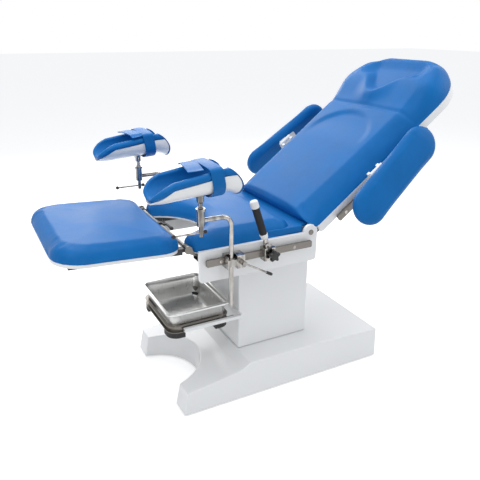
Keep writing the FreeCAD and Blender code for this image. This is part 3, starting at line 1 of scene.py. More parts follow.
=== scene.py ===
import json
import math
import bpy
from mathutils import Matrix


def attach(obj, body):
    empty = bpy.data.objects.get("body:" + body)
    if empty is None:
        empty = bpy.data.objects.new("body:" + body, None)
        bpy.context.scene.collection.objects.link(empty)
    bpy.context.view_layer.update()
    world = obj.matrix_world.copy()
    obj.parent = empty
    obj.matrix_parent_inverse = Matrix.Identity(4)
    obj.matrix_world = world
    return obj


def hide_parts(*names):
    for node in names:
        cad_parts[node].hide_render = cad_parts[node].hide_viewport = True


bl_info = {
    "name": "Clinic Examination Table",
    "version": (1, 0, 0),
    "blender": (4, 5, 0),
    "location": "3D View > Sidebar > Exam Table",
    "description": "Dresses an electric gynaecological table's solids with cushions, covers and fittings",
    "category": "Object",
}

import bpy
import numpy as np
from mathutils import Matrix, Vector

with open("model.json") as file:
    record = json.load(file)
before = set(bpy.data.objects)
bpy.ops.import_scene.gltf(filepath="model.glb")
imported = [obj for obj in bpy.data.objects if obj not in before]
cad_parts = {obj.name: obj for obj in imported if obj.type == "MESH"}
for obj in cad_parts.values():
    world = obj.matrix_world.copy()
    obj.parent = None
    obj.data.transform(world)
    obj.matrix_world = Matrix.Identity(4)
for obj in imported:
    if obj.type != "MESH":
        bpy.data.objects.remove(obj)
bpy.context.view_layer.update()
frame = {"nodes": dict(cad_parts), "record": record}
nodes = frame["nodes"]

# Places taken over from the table's own frame, in metres
COLUMN_X = 0.0204
PIVOT = Vector((0.070 + COLUMN_X, 0.0, 0.653))
BACK_ANGLE = math.radians(37.1)
SHAFT = Vector((-0.408 + COLUMN_X, 0.0, 0.660))
LEG_ANGLE = math.radians(3.0)
SUPPORT_Y = 0.314
SOCKET_X = -0.389 + COLUMN_X
BALL_Z = 0.850
SIDES = (("near", -1), ("far", 1))

# Outlines of the cushions in their own sections, in metres
BACK_LOW = 0.024
BACK_HIGH = 0.897
BACK_HALF = 0.280
BACK_LOW_CORNER = 0.012
BACK_HEAD_CORNER = 0.185
NECK_PLACE = 0.588
SEAT_FOOT = -0.396
SEAT_HEAD = 0.012
SEAT_HALF = 0.262
SEAT_FOOT_CORNER = 0.045
SEAT_HEAD_CORNER = 0.060
SEAT_CUT_PLACE = -0.443
SEAT_CUT_RADIUS = 0.185
SEAT_BOARD_TOP = 0.646
ARM_PAD_PLACE = (0.356, -0.372, -0.010)
ARM_PAD_TOE = math.radians(8.0)
ARM_PAD_LEAN = math.radians(75.0)

# Steps of the cloth that rounds the cushions
SETTLE_FRAMES = 14
SETTLE_QUALITY = 3


class TableSizes(bpy.types.PropertyGroup):
    """Sizes of the soft parts that a user may change"""
    seat_thickness: bpy.props.FloatProperty(
        name="Seat thickness", description="Height of the seat cushion", default=0.056, unit="LENGTH")
    seat_roll: bpy.props.FloatProperty(
        name="Seat roll", description="Width of the rounded edge of the seat", default=0.040, unit="LENGTH")
    back_thickness: bpy.props.FloatProperty(
        name="Back thickness", description="Height of the back cushion below the neck", default=0.057,
        unit="LENGTH")
    back_side: bpy.props.FloatProperty(
        name="Back side slope", description="Width of the sloping side of the back cushion", default=0.074,
        unit="LENGTH")
    head_rise: bpy.props.FloatProperty(
        name="Head rise", description="Height of the neck roll above the back", default=0.026, unit="LENGTH")
    leg_thickness: bpy.props.FloatProperty(
        name="Leg thickness", description="Height of the leg cushion", default=0.044, unit="LENGTH")
    leg_roll: bpy.props.FloatProperty(
        name="Leg roll", description="Width of the rounded edge of the leg cushion", default=0.040,
        unit="LENGTH")
    arm_thickness: bpy.props.FloatProperty(
        name="Arm rest thickness", description="Thickness of an arm pad", default=0.042, unit="LENGTH")
    calf_pad: bpy.props.FloatProperty(
        name="Calf pad", description="Thickness of the padding in a calf rest", default=0.015, unit="LENGTH")
    voxel: bpy.props.FloatProperty(
        name="Grain of the cushions", description="Spacing of the cushions' mesh", default=0.005,
        unit="LENGTH")
    swell: bpy.props.FloatProperty(
        name="Swell", description="Pressure inside the cushions while they settle", default=4.0, min=0.0)


class TableColours(bpy.types.PropertyGroup):
    """Colours of the table's finishes"""
    vinyl: bpy.props.FloatVectorProperty(
        name="Vinyl", description="Colour of the upholstery", subtype="COLOR", size=4,
        default=(0.006, 0.138, 0.420, 1.0))
    cover: bpy.props.FloatVectorProperty(
        name="Covers", description="Colour of the white covers", subtype="COLOR", size=4,
        default=(0.87, 0.875, 0.88, 1.0))
    # Part the steel's own tone, part painted reflection: kept dark to stand in for the dark surroundings the
    # steel mirrors
    steel: bpy.props.FloatVectorProperty(
        name="Steel", description="Colour of bright steel", subtype="COLOR", size=4,
        default=(0.34, 0.326, 0.308, 1.0))
    # Part the rails' own tone, part painted reflection: the dark brown stands in for the dark surroundings
    # the rails mirror
    rail: bpy.props.FloatVectorProperty(
        name="Rails", description="Colour of the brushed side rails", subtype="COLOR", size=4,
        default=(0.20, 0.185, 0.17, 1.0))
    black: bpy.props.FloatVectorProperty(
        name="Black plastic", description="Colour of grips and knobs", subtype="COLOR", size=4,
        default=(0.006, 0.006, 0.007, 1.0))


# Finishes


def scaled(colour, factor):
    return tuple(min(1.0, channel * factor) for channel in colour[:3]) + (1.0,)


def set_inputs(node, **values):
    """Sets constants on a node's sockets; an underscore stands for a space in a socket's name."""
    for name, value in values.items():
        node.inputs[name.replace("_", " ")].default_value = value


class Finish:
    """Material with one Principled shader, whose looks vary over Object coordinates"""

    def __init__(self, name, colour, roughness, metal=0.0):
        self.material = bpy.data.materials.new(name)
        self.material.use_nodes = True
        self.tree = self.material.node_tree
        self.shader = self.tree.nodes["Principled BSDF"]
        self.colour = colour
        set_inputs(self.shader, Base_Color=colour, Roughness=roughness, Metallic=metal)
        self.place = self.tree.nodes.new("ShaderNodeTexCoord").outputs["Object"]

    def node(self, kind, **values):
        node = self.tree.nodes.new("ShaderNode" + kind)
        set_inputs(node, **values)
        return node

    def link(self, output, node, socket):
        self.tree.links.new(output, node.inputs[socket])

    def noise(self, scale, detail=3.0, stretch=None):
        texture = self.node("TexNoise", Scale=scale, Detail=detail)
        source = self.place
        if stretch is not None:
            mapping = self.node("Mapping", Scale=stretch)
            self.link(source, mapping, "Vector")
            source = mapping.outputs["Vector"]
        self.link(source, texture, "Vector")
        return texture.outputs["Fac"]

    def spread(self, value, low, high, from_low, from_high):
        """Maps a noise value on to a range."""
        node = self.node("MapRange", From_Min=from_low, From_Max=from_high, To_Min=low, To_Max=high)
        self.link(value, node, "Value")
        return node.outputs["Result"]

    def total(self, first, second, weight):
        """Sum of one value and a weighted second one."""
        node = self.node("Math")
        node.operation = "MULTIPLY_ADD"
        self.tree.links.new(second, node.inputs[0])
        node.inputs[1].default_value = weight
        self.tree.links.new(first, node.inputs[2])
        return node.outputs["Value"]

    def tint(self, value, dark, light, from_low=0.3, from_high=0.7):
        """Varies the base colour by a value, between two shares of itself."""
        mix = self.node("Mix")
        mix.data_type = "RGBA"
        set_inputs(mix, A=scaled(self.colour, dark), B=scaled(self.colour, light))
        self.link(self.spread(value, 0.0, 1.0, from_low, from_high), mix, "Factor")
        self.link(mix.outputs["Result"], self.shader, "Base Color")

    def roughen(self, value, low, high, from_low=0.3, from_high=0.7):
        self.link(self.spread(value, low, high, from_low, from_high), self.shader, "Roughness")

    def bump(self, height, distance, strength):
        node = self.node("Bump", Distance=distance, Strength=strength)
        self.link(height, node, "Height")
        self.link(node.outputs["Normal"], self.shader, "Normal")


def vinyl_finish(colour):
    """Satin vinyl with a fine pressed grain and faint handling marks."""
    finish = Finish("blue vinyl", colour, 0.42)
    grain = finish.node("TexVoronoi", Scale=620.0)
    finish.link(finish.place, grain, "Vector")
    fold = finish.noise(26.0, 2.0)
    finish.bump(finish.total(fold, grain.outputs["Distance"], 0.22), 0.0012, 0.35)
    wear = finish.noise(9.0, 4.0)
    finish.tint(wear, 0.93, 1.08)
    finish.roughen(wear, 0.34, 0.46)
    set_inputs(finish.shader, Specular_IOR_Level=0.12)
    return finish.material


def gloss_cover_finish(name, colour, roughness=0.22):
    """Moulded or sprayed white surface with a faint orange peel."""
    finish = Finish(name, colour, roughness)
    finish.bump(finish.noise(190.0, 2.0), 0.0003, 0.10)
    haze = finish.noise(3.0, 1.0)
    finish.roughen(haze, roughness - 0.01, roughness + 0.02, 0.1, 0.9)
    finish.tint(haze, 0.99, 1.01, 0.1, 0.9)
    set_inputs(finish.shader, Coat_Weight=0.12, Coat_Roughness=0.20)
    return finish.material


def brushed_finish(name, colour, roughness, stretch):
    """Brushed steel, its lines running along one direction."""
    finish = Finish(name, colour, roughness, 1.0)
    lines = finish.noise(60.0, 4.0, stretch)
    finish.bump(lines, 0.0002, 0.25)
    finish.roughen(lines, roughness - 0.08, roughness + 0.10)
    finish.tint(lines, 0.86, 1.12)
    return finish.material


def bright_finish(name, colour, roughness):
    """Polished steel with painted reflections: lighter and darker upright bands painted into its colour, and
    fine wipe marks in its roughness that also add to the painted bands.
    """
    # Strength of the painted reflections in the colour
    painted_reflection_contrast = 0.55
    finish = Finish(name, colour, roughness, 1.0)
    # Painted reflection: upright bands that stand in for the dark and light surroundings the steel mirrors
    painted_reflection_streaks = finish.noise(55.0, 2.0, (1.0, 1.0, 0.12))
    marks = finish.noise(30.0, 3.0)
    finish.roughen(marks, roughness * 0.8, roughness * 1.3)
    # Paints the reflections into the colour, with the wipe marks adding to the bands
    finish.tint(finish.total(painted_reflection_streaks, marks, 0.4), 1.0 - painted_reflection_contrast, 1.0 + painted_reflection_contrast, 0.50, 0.90)
    return finish.material


def pan_finish(colour):
    """Drawn stainless sheet: an even satin with a fine upright grain."""
    finish = Finish("pan steel", colour, 0.30, 1.0)
    grain = finish.noise(160.0, 2.0, (1.0, 1.0, 0.08))
    finish.roughen(grain, 0.27, 0.33)
    finish.tint(grain, 0.96, 1.04)
    return finish.material


def moulded_finish(name, colour, roughness, grain=900.0):
    """Moulded plastic or rubber with a fine matt grain."""
    finish = Finish(name, colour, roughness)
    finish.bump(finish.noise(grain, 2.0), 0.0002, 0.35)
    dust = finish.noise(12.0, 3.0)
    finish.roughen(dust, roughness - 0.06, roughness + 0.08)
    finish.tint(dust, 0.85, 1.25)
    return finish.material


finishes = {}


def make_finishes(colours):
    finishes.update({
        "blue_vinyl": vinyl_finish(tuple(colours.vinyl)),
        "white_cover": gloss_cover_finish("white cover", tuple(colours.cover)),
        "white_paint": gloss_cover_finish("white paint", tuple(colours.cover), 0.30),
        # Rails, bright steel and zinc plate take the darkened colours that carry painted dark reflections
        "stainless": brushed_finish("brushed rail", tuple(colours.rail), 0.32, (0.4, 9.0, 9.0)),
        "bright_steel": bright_finish("bright steel", tuple(colours.steel), 0.16),
        "pan_steel": pan_finish((0.64, 0.64, 0.63, 1.0)),
        "zinc_steel": brushed_finish("zinc plate", scaled(tuple(colours.steel), 0.8), 0.38, (1.0, 1.0, 1.0)),
        "grey_paint": gloss_cover_finish("grey paint", (0.33, 0.34, 0.36, 1.0), 0.42),
        "black_paint": moulded_finish("black paint", (0.020, 0.020, 0.022, 1.0), 0.42, 500.0),
        "black_plastic": moulded_finish("black plastic", tuple(colours.black), 0.34),
        "black_rubber": moulded_finish("black rubber", scaled(tuple(colours.black), 1.3), 0.62, 1400.0),
        "guide_plastic": moulded_finish("guide plastic", (0.62, 0.60, 0.54, 1.0), 0.5),
        "white_plastic": moulded_finish("white plastic", (0.80, 0.80, 0.79, 1.0), 0.30, 500.0),
    })
    finishes["blue_strap"] = finishes["blue_vinyl"]
    finishes["board"] = finishes["white_paint"]


# Nodes that look unlike their record's slot
OTHER_FINISHES = (
    ("drain_pan", "pan_steel"), ("tray_runners", "white_paint"),
    ("leg_hinge", "stainless"), ("pivot_pins", "stainless"),
    ("arm_bracket_near", "white_paint"), ("arm_clamp_near", "white_paint"),
    ("arm_bracket_far", "white_paint"), ("arm_clamp_far", "white_paint"))


def dress(node, finish):
    """Gives a CAD node its finish."""
    materials = nodes[node].data.materials
    materials.clear()
    materials.append(finishes[finish])


# Shaping helpers


def set_mode(mode):
    bpy.ops.object.mode_set(mode=mode)


def clear_selection():
    if bpy.context.object is not None and bpy.context.object.mode != "OBJECT":
        set_mode("OBJECT")
    bpy.ops.object.select_all(action="DESELECT")


def select_only(piece):
    clear_selection()
    bpy.context.view_layer.objects.active = piece
    piece.select_set(True)


def edit_all(piece):
    """Enters edit mode with the whole piece selected."""
    select_only(piece)
    set_mode("EDIT")
    bpy.ops.mesh.select_all(action="SELECT")


def points_of(piece):
    """The piece's points as an array, one row each."""
    flat = np.zeros(len(piece.data.vertices) * 3, np.float64)
    piece.data.vertices.foreach_get("co", flat)
    return flat.reshape(-1, 3)


def move_points(piece, points):
    piece.data.vertices.foreach_set("co", points.astype(np.float32).ravel())
    piece.data.update()


def apply_modifier(piece, kind, **settings):
    bpy.context.view_layer.objects.active = piece
    bpy.ops.object.modifier_add(type=kind)
    modifier = piece.modifiers[-1]
    for name, value in settings.items():
        setattr(modifier, name, value)
    bpy.ops.object.modifier_apply(modifier=modifier.name)


def smoothstep(low, high, value):
    """Smooth rise from 0 at low to 1 at high; it falls where low is the larger."""
    share = np.clip((value - low) / (high - low), 0.0, 1.0)
    return share * share * (3.0 - 2.0 * share)


def bevel_edges(piece, chosen, radius, segments):
    """Rounds the edges whose two ends satisfy the test, in edit mode."""
    select_only(piece)
    set_mode("EDIT")
    bpy.ops.mesh.select_mode(type="EDGE")
    bpy.ops.mesh.select_all(action="DESELECT")
    set_mode("OBJECT")
    vertices = piece.data.vertices
    for edge in piece.data.edges:
        a, b = (vertices[index].co for index in edge.vertices)
        edge.select = bool(chosen(a, b))
    set_mode("EDIT")
    bpy.ops.mesh.bevel(offset=radius, segments=segments, affect="EDGES")
    set_mode("OBJECT")


def is_upright(a, b):
    """Whether an edge between two points runs straight up."""
    return abs(a.x - b.x) < 1e-5 and abs(a.y - b.y) < 1e-5 and abs(a.z - b.z) > 1e-4


def block(low, high):
    """Cube primitive between two corners, with its place in its mesh."""
    clear_selection()
    low, high = Vector(low), Vector(high)
    bpy.ops.mesh.primitive_cube_add(size=1.0, location=(low + high) / 2, scale=high - low)
    piece = bpy.context.object
    bpy.ops.object.transform_apply(location=True, rotation=True, scale=True)
    return piece


def cylinder(start, end, radius, sides=48, far_radius=None):
    """Cylinder or cone primitive between two points, with its place in its mesh."""
    clear_selection()
    start, end = Vector(start), Vector(end)
    line = end - start
    turn = line.to_track_quat("Z", "Y").to_euler()
    bpy.ops.mesh.primitive_cone_add(
        vertices=sides, radius1=radius, radius2=radius if far_radius is None else far_radius,
        depth=line.length, location=(start + end) / 2, rotation=turn)
    piece = bpy.context.object
    bpy.ops.object.transform_apply(location=True, rotation=True, scale=True)
    return piece


def ball(centre, radius):
    clear_selection()
    bpy.ops.mesh.primitive_uv_sphere_add(segments=32, ring_count=16, radius=radius, location=centre)
    piece = bpy.context.object
    bpy.ops.object.transform_apply(location=True, rotation=True, scale=True)
    return piece


def join(parts):
    clear_selection()
    for part in parts:
        part.select_set(True)
    bpy.context.view_layer.objects.active = parts[0]
    bpy.ops.object.join()
    return parts[0]


def cut_away(piece, tool):
    apply_modifier(piece, "BOOLEAN", operation="DIFFERENCE", object=tool, solver="EXACT")
    bpy.data.objects.remove(tool)


def move_by(piece, matrix):
    piece.data.transform(matrix)
    piece.data.update()


def shift_by(piece, step):
    move_by(piece, Matrix.Translation(step))


def onto_back(piece):
    move_by(piece, Matrix.Translation(PIVOT) @ Matrix.Rotation(-BACK_ANGLE, 4, "Y"))


def onto_leg(piece):
    move_by(piece, Matrix.Translation(SHAFT) @ Matrix.Rotation(LEG_ANGLE, 4, "Y"))


def finish_piece(piece, name, body, slot, finish=None, replaced=None, flat_angle=None):
    """Names and smooths the piece, gives it a finish, or else the slot's own, and hangs it on its body."""
    select_only(piece)
    piece.name = name
    piece.data.name = name
    if flat_angle is None:
        bpy.ops.object.shade_smooth()
    else:
        bpy.ops.object.shade_smooth_by_angle(angle=math.radians(flat_angle))
    piece.data.materials.clear()
    piece.data.materials.append(finishes[finish or slot])
    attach(piece, body)
    if replaced:
        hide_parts(replaced)


def smooth(piece, times):
    apply_modifier(piece, "SMOOTH", factor=0.5, iterations=times)


def remesh(piece, voxel):
    apply_modifier(piece, "REMESH", mode="VOXEL", voxel_size=voxel, adaptivity=0.0)


def settle(piece, pressure, cap, held_below=None):
    """Blows the cushion up a little with cloth, then limits how far a point has moved."""
    if pressure <= 0:
        return
    before = points_of(piece)
    select_only(piece)
    bpy.ops.object.modifier_add(type="CLOTH")
    modifier = piece.modifiers[-1]
    cloth = modifier.settings
    cloth.use_pressure = True
    cloth.uniform_pressure_force = pressure
    cloth.effector_weights.gravity = 0.0
    cloth.quality = SETTLE_QUALITY
    if held_below is not None:
        held = piece.vertex_groups.new(name="held")
        held.add([int(index) for index in np.nonzero(before[:, 2] < held_below)[0]], 1.0, "REPLACE")
        cloth.vertex_group_mass = "held"
    for step in range(1, SETTLE_FRAMES + 1):
        bpy.context.scene.frame_set(step)
    bpy.ops.object.modifier_apply(modifier=modifier.name)
    bpy.context.scene.frame_set(1)
    after = points_of(piece)
    shift = after - before
    length = np.linalg.norm(shift, axis=1)
    share = np.minimum(1.0, cap / np.maximum(length, 1e-9))
    move_points(piece, before + shift * share[:, None])
    piece.vertex_groups.clear()


def rounded_box_depth(x, y, low_x, high_x, half, low_corner, high_corner):
    """How far inside a rounded outline each point lies."""
    middle = (low_x + high_x) / 2
    corner = np.where(x < middle, low_corner, high_corner)
    dx = np.abs(x - middle) - (high_x - low_x) / 2 + corner
    dy = np.abs(y) - half + corner
    outside = np.hypot(np.maximum(dx, 0.0), np.maximum(dy, 0.0))
    return -(np.minimum(np.maximum(dx, dy), 0.0) + outside - corner)


def roll(depth, width, thickness, edge, fullness=1.0):
    """Height of a cushion whose edge rolls over from a low side wall to its full thickness."""
    share = np.clip(depth / width, 0.0, 1.0)
    curve = np.sqrt(np.clip(1.0 - (1.0 - share) ** 2, 0.0, 1.0))
    ramp = share * (2.0 - share)
    return edge + (thickness - edge) * (fullness * curve + (1.0 - fullness) * ramp)


def rescale_height(piece, height, thickness):
    points = points_of(piece)
    points[:, 2] = points[:, 2] / thickness * height(points[:, 0], points[:, 1])
    move_points(piece, points)


# Cushions


def back_height(s, y, sizes):
    """Height of the back cushion's face, with waist dish, neck crease, neck roll and head bowl."""
    head_side = 0.052
    crown = 0.003
    dish_depth = 0.0090
    bowl_depth = 0.029
    end_drop = 0.005
    crease_depth = 0.006
    crease_width = 0.008
    depth = rounded_box_depth(s, y, BACK_LOW, BACK_HIGH, BACK_HALF, BACK_LOW_CORNER, BACK_HEAD_CORNER)
    lower_depth = np.clip(s - BACK_LOW, 0.0, None)
    head = smoothstep(0.560, 0.720, s)
    side = sizes.back_side * (1.0 - head) + head_side * head
    side_depth = np.where(s > 0.60, depth, BACK_HALF - np.abs(y))
    face = np.full_like(s, sizes.back_thickness)
    face += crown * (1.0 - (y / 0.25) ** 2)
    waist = np.hypot((s - 0.400) / 0.152, y / 0.182)
    dish = (1.0 - smoothstep(0.84, 1.04, waist)) * smoothstep(0.36, 0.50, s)
    face -= dish_depth * dish
    ridge = 0.650 + 0.092 * smoothstep(0.010, 0.120, np.abs(y - 0.012))
    rise = smoothstep(NECK_PLACE, ridge, s)
    hollow = smoothstep(ridge - 0.006, ridge + 0.050, s) * smoothstep(0.888, 0.805, s)
    hollow = hollow * smoothstep(0.205, 0.120, np.abs(y))
    face += sizes.head_rise * rise - bowl_depth * hollow
    face -= end_drop * smoothstep(0.82, BACK_HIGH, s)
    crease = np.exp(-((s - NECK_PLACE) / crease_width) ** 2)
    face -= crease_depth * crease
    edge = 0.009 + 0.012 * head
    height = roll(side_depth, side, face, edge, 0.25 + 0.6 * head)
    return np.minimum(height, roll(lower_depth, 0.020, face, 0.024))


def back_cushion(sizes):
    thickness = 0.06
    piece = block((BACK_LOW, -BACK_HALF, 0.0), (BACK_HIGH, BACK_HALF, thickness))
    bevel_edges(piece, lambda a, b: is_upright(a, b) and a.x > 0.8, BACK_HEAD_CORNER, 24)
    bevel_edges(piece, lambda a, b: is_upright(a, b) and a.x < 0.1, BACK_LOW_CORNER, 4)
    remesh(piece, sizes.voxel)
    rescale_height(piece, lambda s, y: back_height(s, y, sizes), thickness)
    points = points_of(piece)
    lean = np.clip((0.20 - points[:, 0]) / 0.167, 0.0, 1.0)
    points[:, 0] -= 0.022 * lean * points[:, 2] / sizes.back_thickness
    move_points(piece, points)
    settle(piece, sizes.swell, 0.006, 0.002)
    smooth(piece, 3)
    onto_back(piece)
    finish_piece(piece, "back_cushion_soft", "back_section", "blue_vinyl", replaced="back_cushion")


def seat_depth(x, y):
    """How far inside the seat's outline and its round cut each point lies."""
    box_depth = rounded_box_depth(x, y, SEAT_FOOT, SEAT_HEAD, SEAT_HALF, SEAT_FOOT_CORNER, SEAT_HEAD_CORNER)
    cut_depth = np.hypot(x - SEAT_CUT_PLACE, y) - SEAT_CUT_RADIUS
    return np.minimum(box_depth, cut_depth)


def seat_cushion(sizes):
    thickness = sizes.seat_thickness
    piece = block((SEAT_FOOT, -SEAT_HALF, 0.0), (SEAT_HEAD, SEAT_HALF, thickness))
    bevel_edges(piece, lambda a, b: is_upright(a, b) and a.x > 0.0, SEAT_HEAD_CORNER, 12)
    bevel_edges(piece, lambda a, b: is_upright(a, b) and a.x < -0.39, SEAT_FOOT_CORNER, 10)
    below = (SEAT_CUT_PLACE, 0.0, -0.01)
    above = (SEAT_CUT_PLACE, 0.0, thickness + 0.01)
    cut_away(piece, cylinder(below, above, SEAT_CUT_RADIUS, 96))
    remesh(piece, sizes.voxel)

    def height(x, y):
        depth = seat_depth(x, y)
        crown = 0.004 * (1.0 - (y / SEAT_HALF) ** 2)
        return roll(depth, sizes.seat_roll, thickness, 0.016) + crown * smoothstep(0.0, 0.08, depth)
    rescale_height(piece, height, thickness)
    settle(piece, sizes.swell, 0.005, 0.002)
    smooth(piece, 3)
    shift_by(piece, (COLUMN_X, 0.0, SEAT_BOARD_TOP))
    finish_piece(piece, "seat_cushion_soft", "carriage", "blue_vinyl", replaced="seat_cushion")
    seat_rear_pad()


def seat_rear_pad():
    """Thin pad under the seat's rounded rear corners, narrower between the arms of the back."""
    wide = block((-0.106, -0.2605, 0.6475), (0.044, 0.2605, 0.6790))
    narrow = block((0.004, -0.2480, 0.6690), (0.0735, 0.2480, 0.6795))
    pad = join([wide, narrow])
    remesh(pad, 0.003)
    smooth(pad, 5)
    shift_by(pad, (COLUMN_X, 0.0, 0.0))
    finish_piece(pad, "seat_rear_pad", "carriage", "blue_vinyl", flat_angle=60)


def leg_cushion(sizes):
    low, high, half = -0.438, -0.022, 0.276
    thickness = sizes.leg_thickness
    foot_corner = 0.100
    hinge_corner = 0.072
    base = 0.006
    piece = block((low, -half, 0.0), (high, half, thickness))
    bevel_edges(piece, lambda a, b: is_upright(a, b) and a.x < -0.4, foot_corner, 16)
    bevel_edges(piece, lambda a, b: is_upright(a, b) and a.x > -0.03, hinge_corner, 14)
    remesh(piece, sizes.voxel)

    def height(x, y):
        depth = rounded_box_depth(x, y, low, high, half, foot_corner, hinge_corner)
        crown = 0.006 * smoothstep(0.0, 0.20, depth)
        return roll(depth, sizes.leg_roll, thickness, 0.010) + crown
    rescale_height(piece, height, thickness)
    settle(piece, sizes.swell, 0.005, 0.002)
    smooth(piece, 3)
    shift_by(piece, (0.0, 0.0, base))
    onto_leg(piece)
    finish_piece(piece, "leg_cushion_soft", "leg_section", "blue_vinyl", replaced="leg_cushion")


def arm_pads(sizes):
    half_length, half_width = 0.2275, 0.070
    half = sizes.arm_thickness / 2
    for side, sign in SIDES:
        piece = block((-half_length, -half_width, -half), (half_length, half_width, half))
        bevel_edges(piece, is_upright, half_width - 0.0005, 18)
        remesh(piece, 0.004)
        points = points_of(piece)
        depth = rounded_box_depth(points[:, 0], points[:, 1], -half_length, half_length, half_width,
                                  half_width, half_width)
        points[:, 2] *= roll(depth, 0.024, 1.0, 0.30)
        points[:, 2] += 0.003 * smoothstep(0.0, 0.06, depth) * np.sign(points[:, 2]) * (points[:, 2] > 0)
        move_points(piece, points)
        settle(piece, sizes.swell, 0.003)
        smooth(piece, 4)
        turn = Matrix.Rotation(ARM_PAD_TOE, 4, "Z") @ Matrix.Rotation(ARM_PAD_LEAN, 4, "X")
        move_by(piece, Matrix.Translation(ARM_PAD_PLACE) @ turn)
        if sign > 0:
            mirror_piece(piece)
        onto_back(piece)
        finish_piece(piece, "arm_pad_soft_" + side, "arm_rest_" + side, "blue_vinyl",
                     replaced="arm_pad_" + side)


def mirror_piece(piece):
    """Turns a near-side piece into its far-side twin, faces outwards again."""
    move_by(piece, Matrix.Diagonal((1.0, -1.0, 1.0, 1.0)))
    edit_all(piece)
    bpy.ops.mesh.flip_normals()
    set_mode("OBJECT")


# Calf rests


def trough_section(u, grow):
    """Half width, bottom and rim height of the calf trough's face along its length."""
    flare = 0.014 * np.clip((u - 0.068) / 0.044, 0.0, 1.04) ** 2
    rim = 0.088 + 0.018 * np.clip((u + 0.157) / 0.219, 0.0, 1.0)
    return 0.074 + grow + flare, 0.019 - grow - flare, rim


def trough_point(u, side, grow, drop):
    """Point of the trough's face, with how far it lies from the rim; side runs from -1 to 1 round the U."""
    half, bottom, rim = trough_section(u, grow)
    nose = 1.0 - smoothstep(-0.172, -0.120, u)
    half = half - 0.010 * nose ** 2
    bottom = bottom + 0.004 * nose ** 2
    rise = 0.75 * half
    spring = bottom + rise
    curve = 1.388 * half
    length = curve + rim - drop - spring
    reach = np.abs(side) * length
    angle = np.clip(reach / curve, 0.0, 1.0) * math.pi / 2
    y = np.sign(side) * half * np.sin(angle)
    z = spring - rise * np.cos(angle) + np.clip(reach - curve, 0.0, None)
    return y, z, length - reach


def pad_foot(z):
    return -0.170 + 0.058 * np.clip((z - 0.024) / 0.069, 0.0, 1.2) ** 2.2


def shell_foot(z):
    return -0.170 + 0.068 * np.clip((z - 0.015) / 0.055, 0.0, 1.2) ** 1.9


def pad_knee(z):
    return 0.115 - 0.038 * np.clip((z - 0.040) / 0.066, 0.0, 1.1) ** 2.2


def shell_knee(z):
    return pad_knee(z) - 0.0045


# How far the calf cover's edge lies below the rim of its pad
LIP = 0.0235

# Radius and height of the cup under a calf cover, and the hollow in which its ball turns
CUP_PROFILE = [(0.0112, -0.0048), (0.0118, -0.0044), (0.0121, 0.0020), (0.0128, 0.0080), (0.0142, 0.0130),
               (0.0164, 0.0172), (0.0186, 0.0205), (0.0190, 0.0215)]
CUP_HOLLOW = 0.0113

# Places along the trough where its two end curves are measured
FOOT_MEASURE = -0.130
KNEE_MEASURE = 0.100


def trough_slab(along, across):
    """Closed slab whose x runs along the trough, y round it and z from its outer to its inner face."""
    clear_selection()
    bpy.ops.mesh.primitive_grid_add(x_subdivisions=along, y_subdivisions=across, size=2.0)
    slab = bpy.context.object
    apply_modifier(slab, "SOLIDIFY", thickness=1.0, offset=1.0)
    points = points_of(slab)
    share = 0.5 + 0.5 * (1.5 * points[:, 0] - 0.5 * points[:, 0] ** 3)
    side = 1.5 * points[:, 1] - 0.5 * points[:, 1] ** 3
    depth = (points[:, 2] - points[:, 2].min()) / (points[:, 2].max() - points[:, 2].min())
    return slab, np.clip(share, 0.0, 1.0), np.clip(side, -1.0, 1.0), depth


def tidy_normals(piece):
    """Welds points that fell together and turns the faces outwards."""
    edit_all(piece)
    bpy.ops.mesh.remove_doubles(threshold=0.00002)
    bpy.ops.mesh.normals_make_consistent(inside=False)
    set_mode("OBJECT")


def calf_shell():
    """White cover: a U-shaped trough with a scooped nose, a lowered edge and a flared knee end."""
    shell, share, side, depth = trough_slab(96, 88)
    _, foot_z, _ = trough_point(FOOT_MEASURE, side, 0.0, LIP)
    _, knee_z, _ = trough_point(KNEE_MEASURE, side, 0.0, LIP)
    foot = shell_foot(foot_z)
    u = foot + share * (shell_knee(knee_z) - foot)
    y, z, _ = trough_point(u, side, -0.004 * depth, LIP)
    move_points(shell, np.stack([u, y, z], axis=1))
    tidy_normals(shell)
    apply_modifier(shell, "BEVEL", width=0.0011, segments=3, limit_method="ANGLE")
    return shell


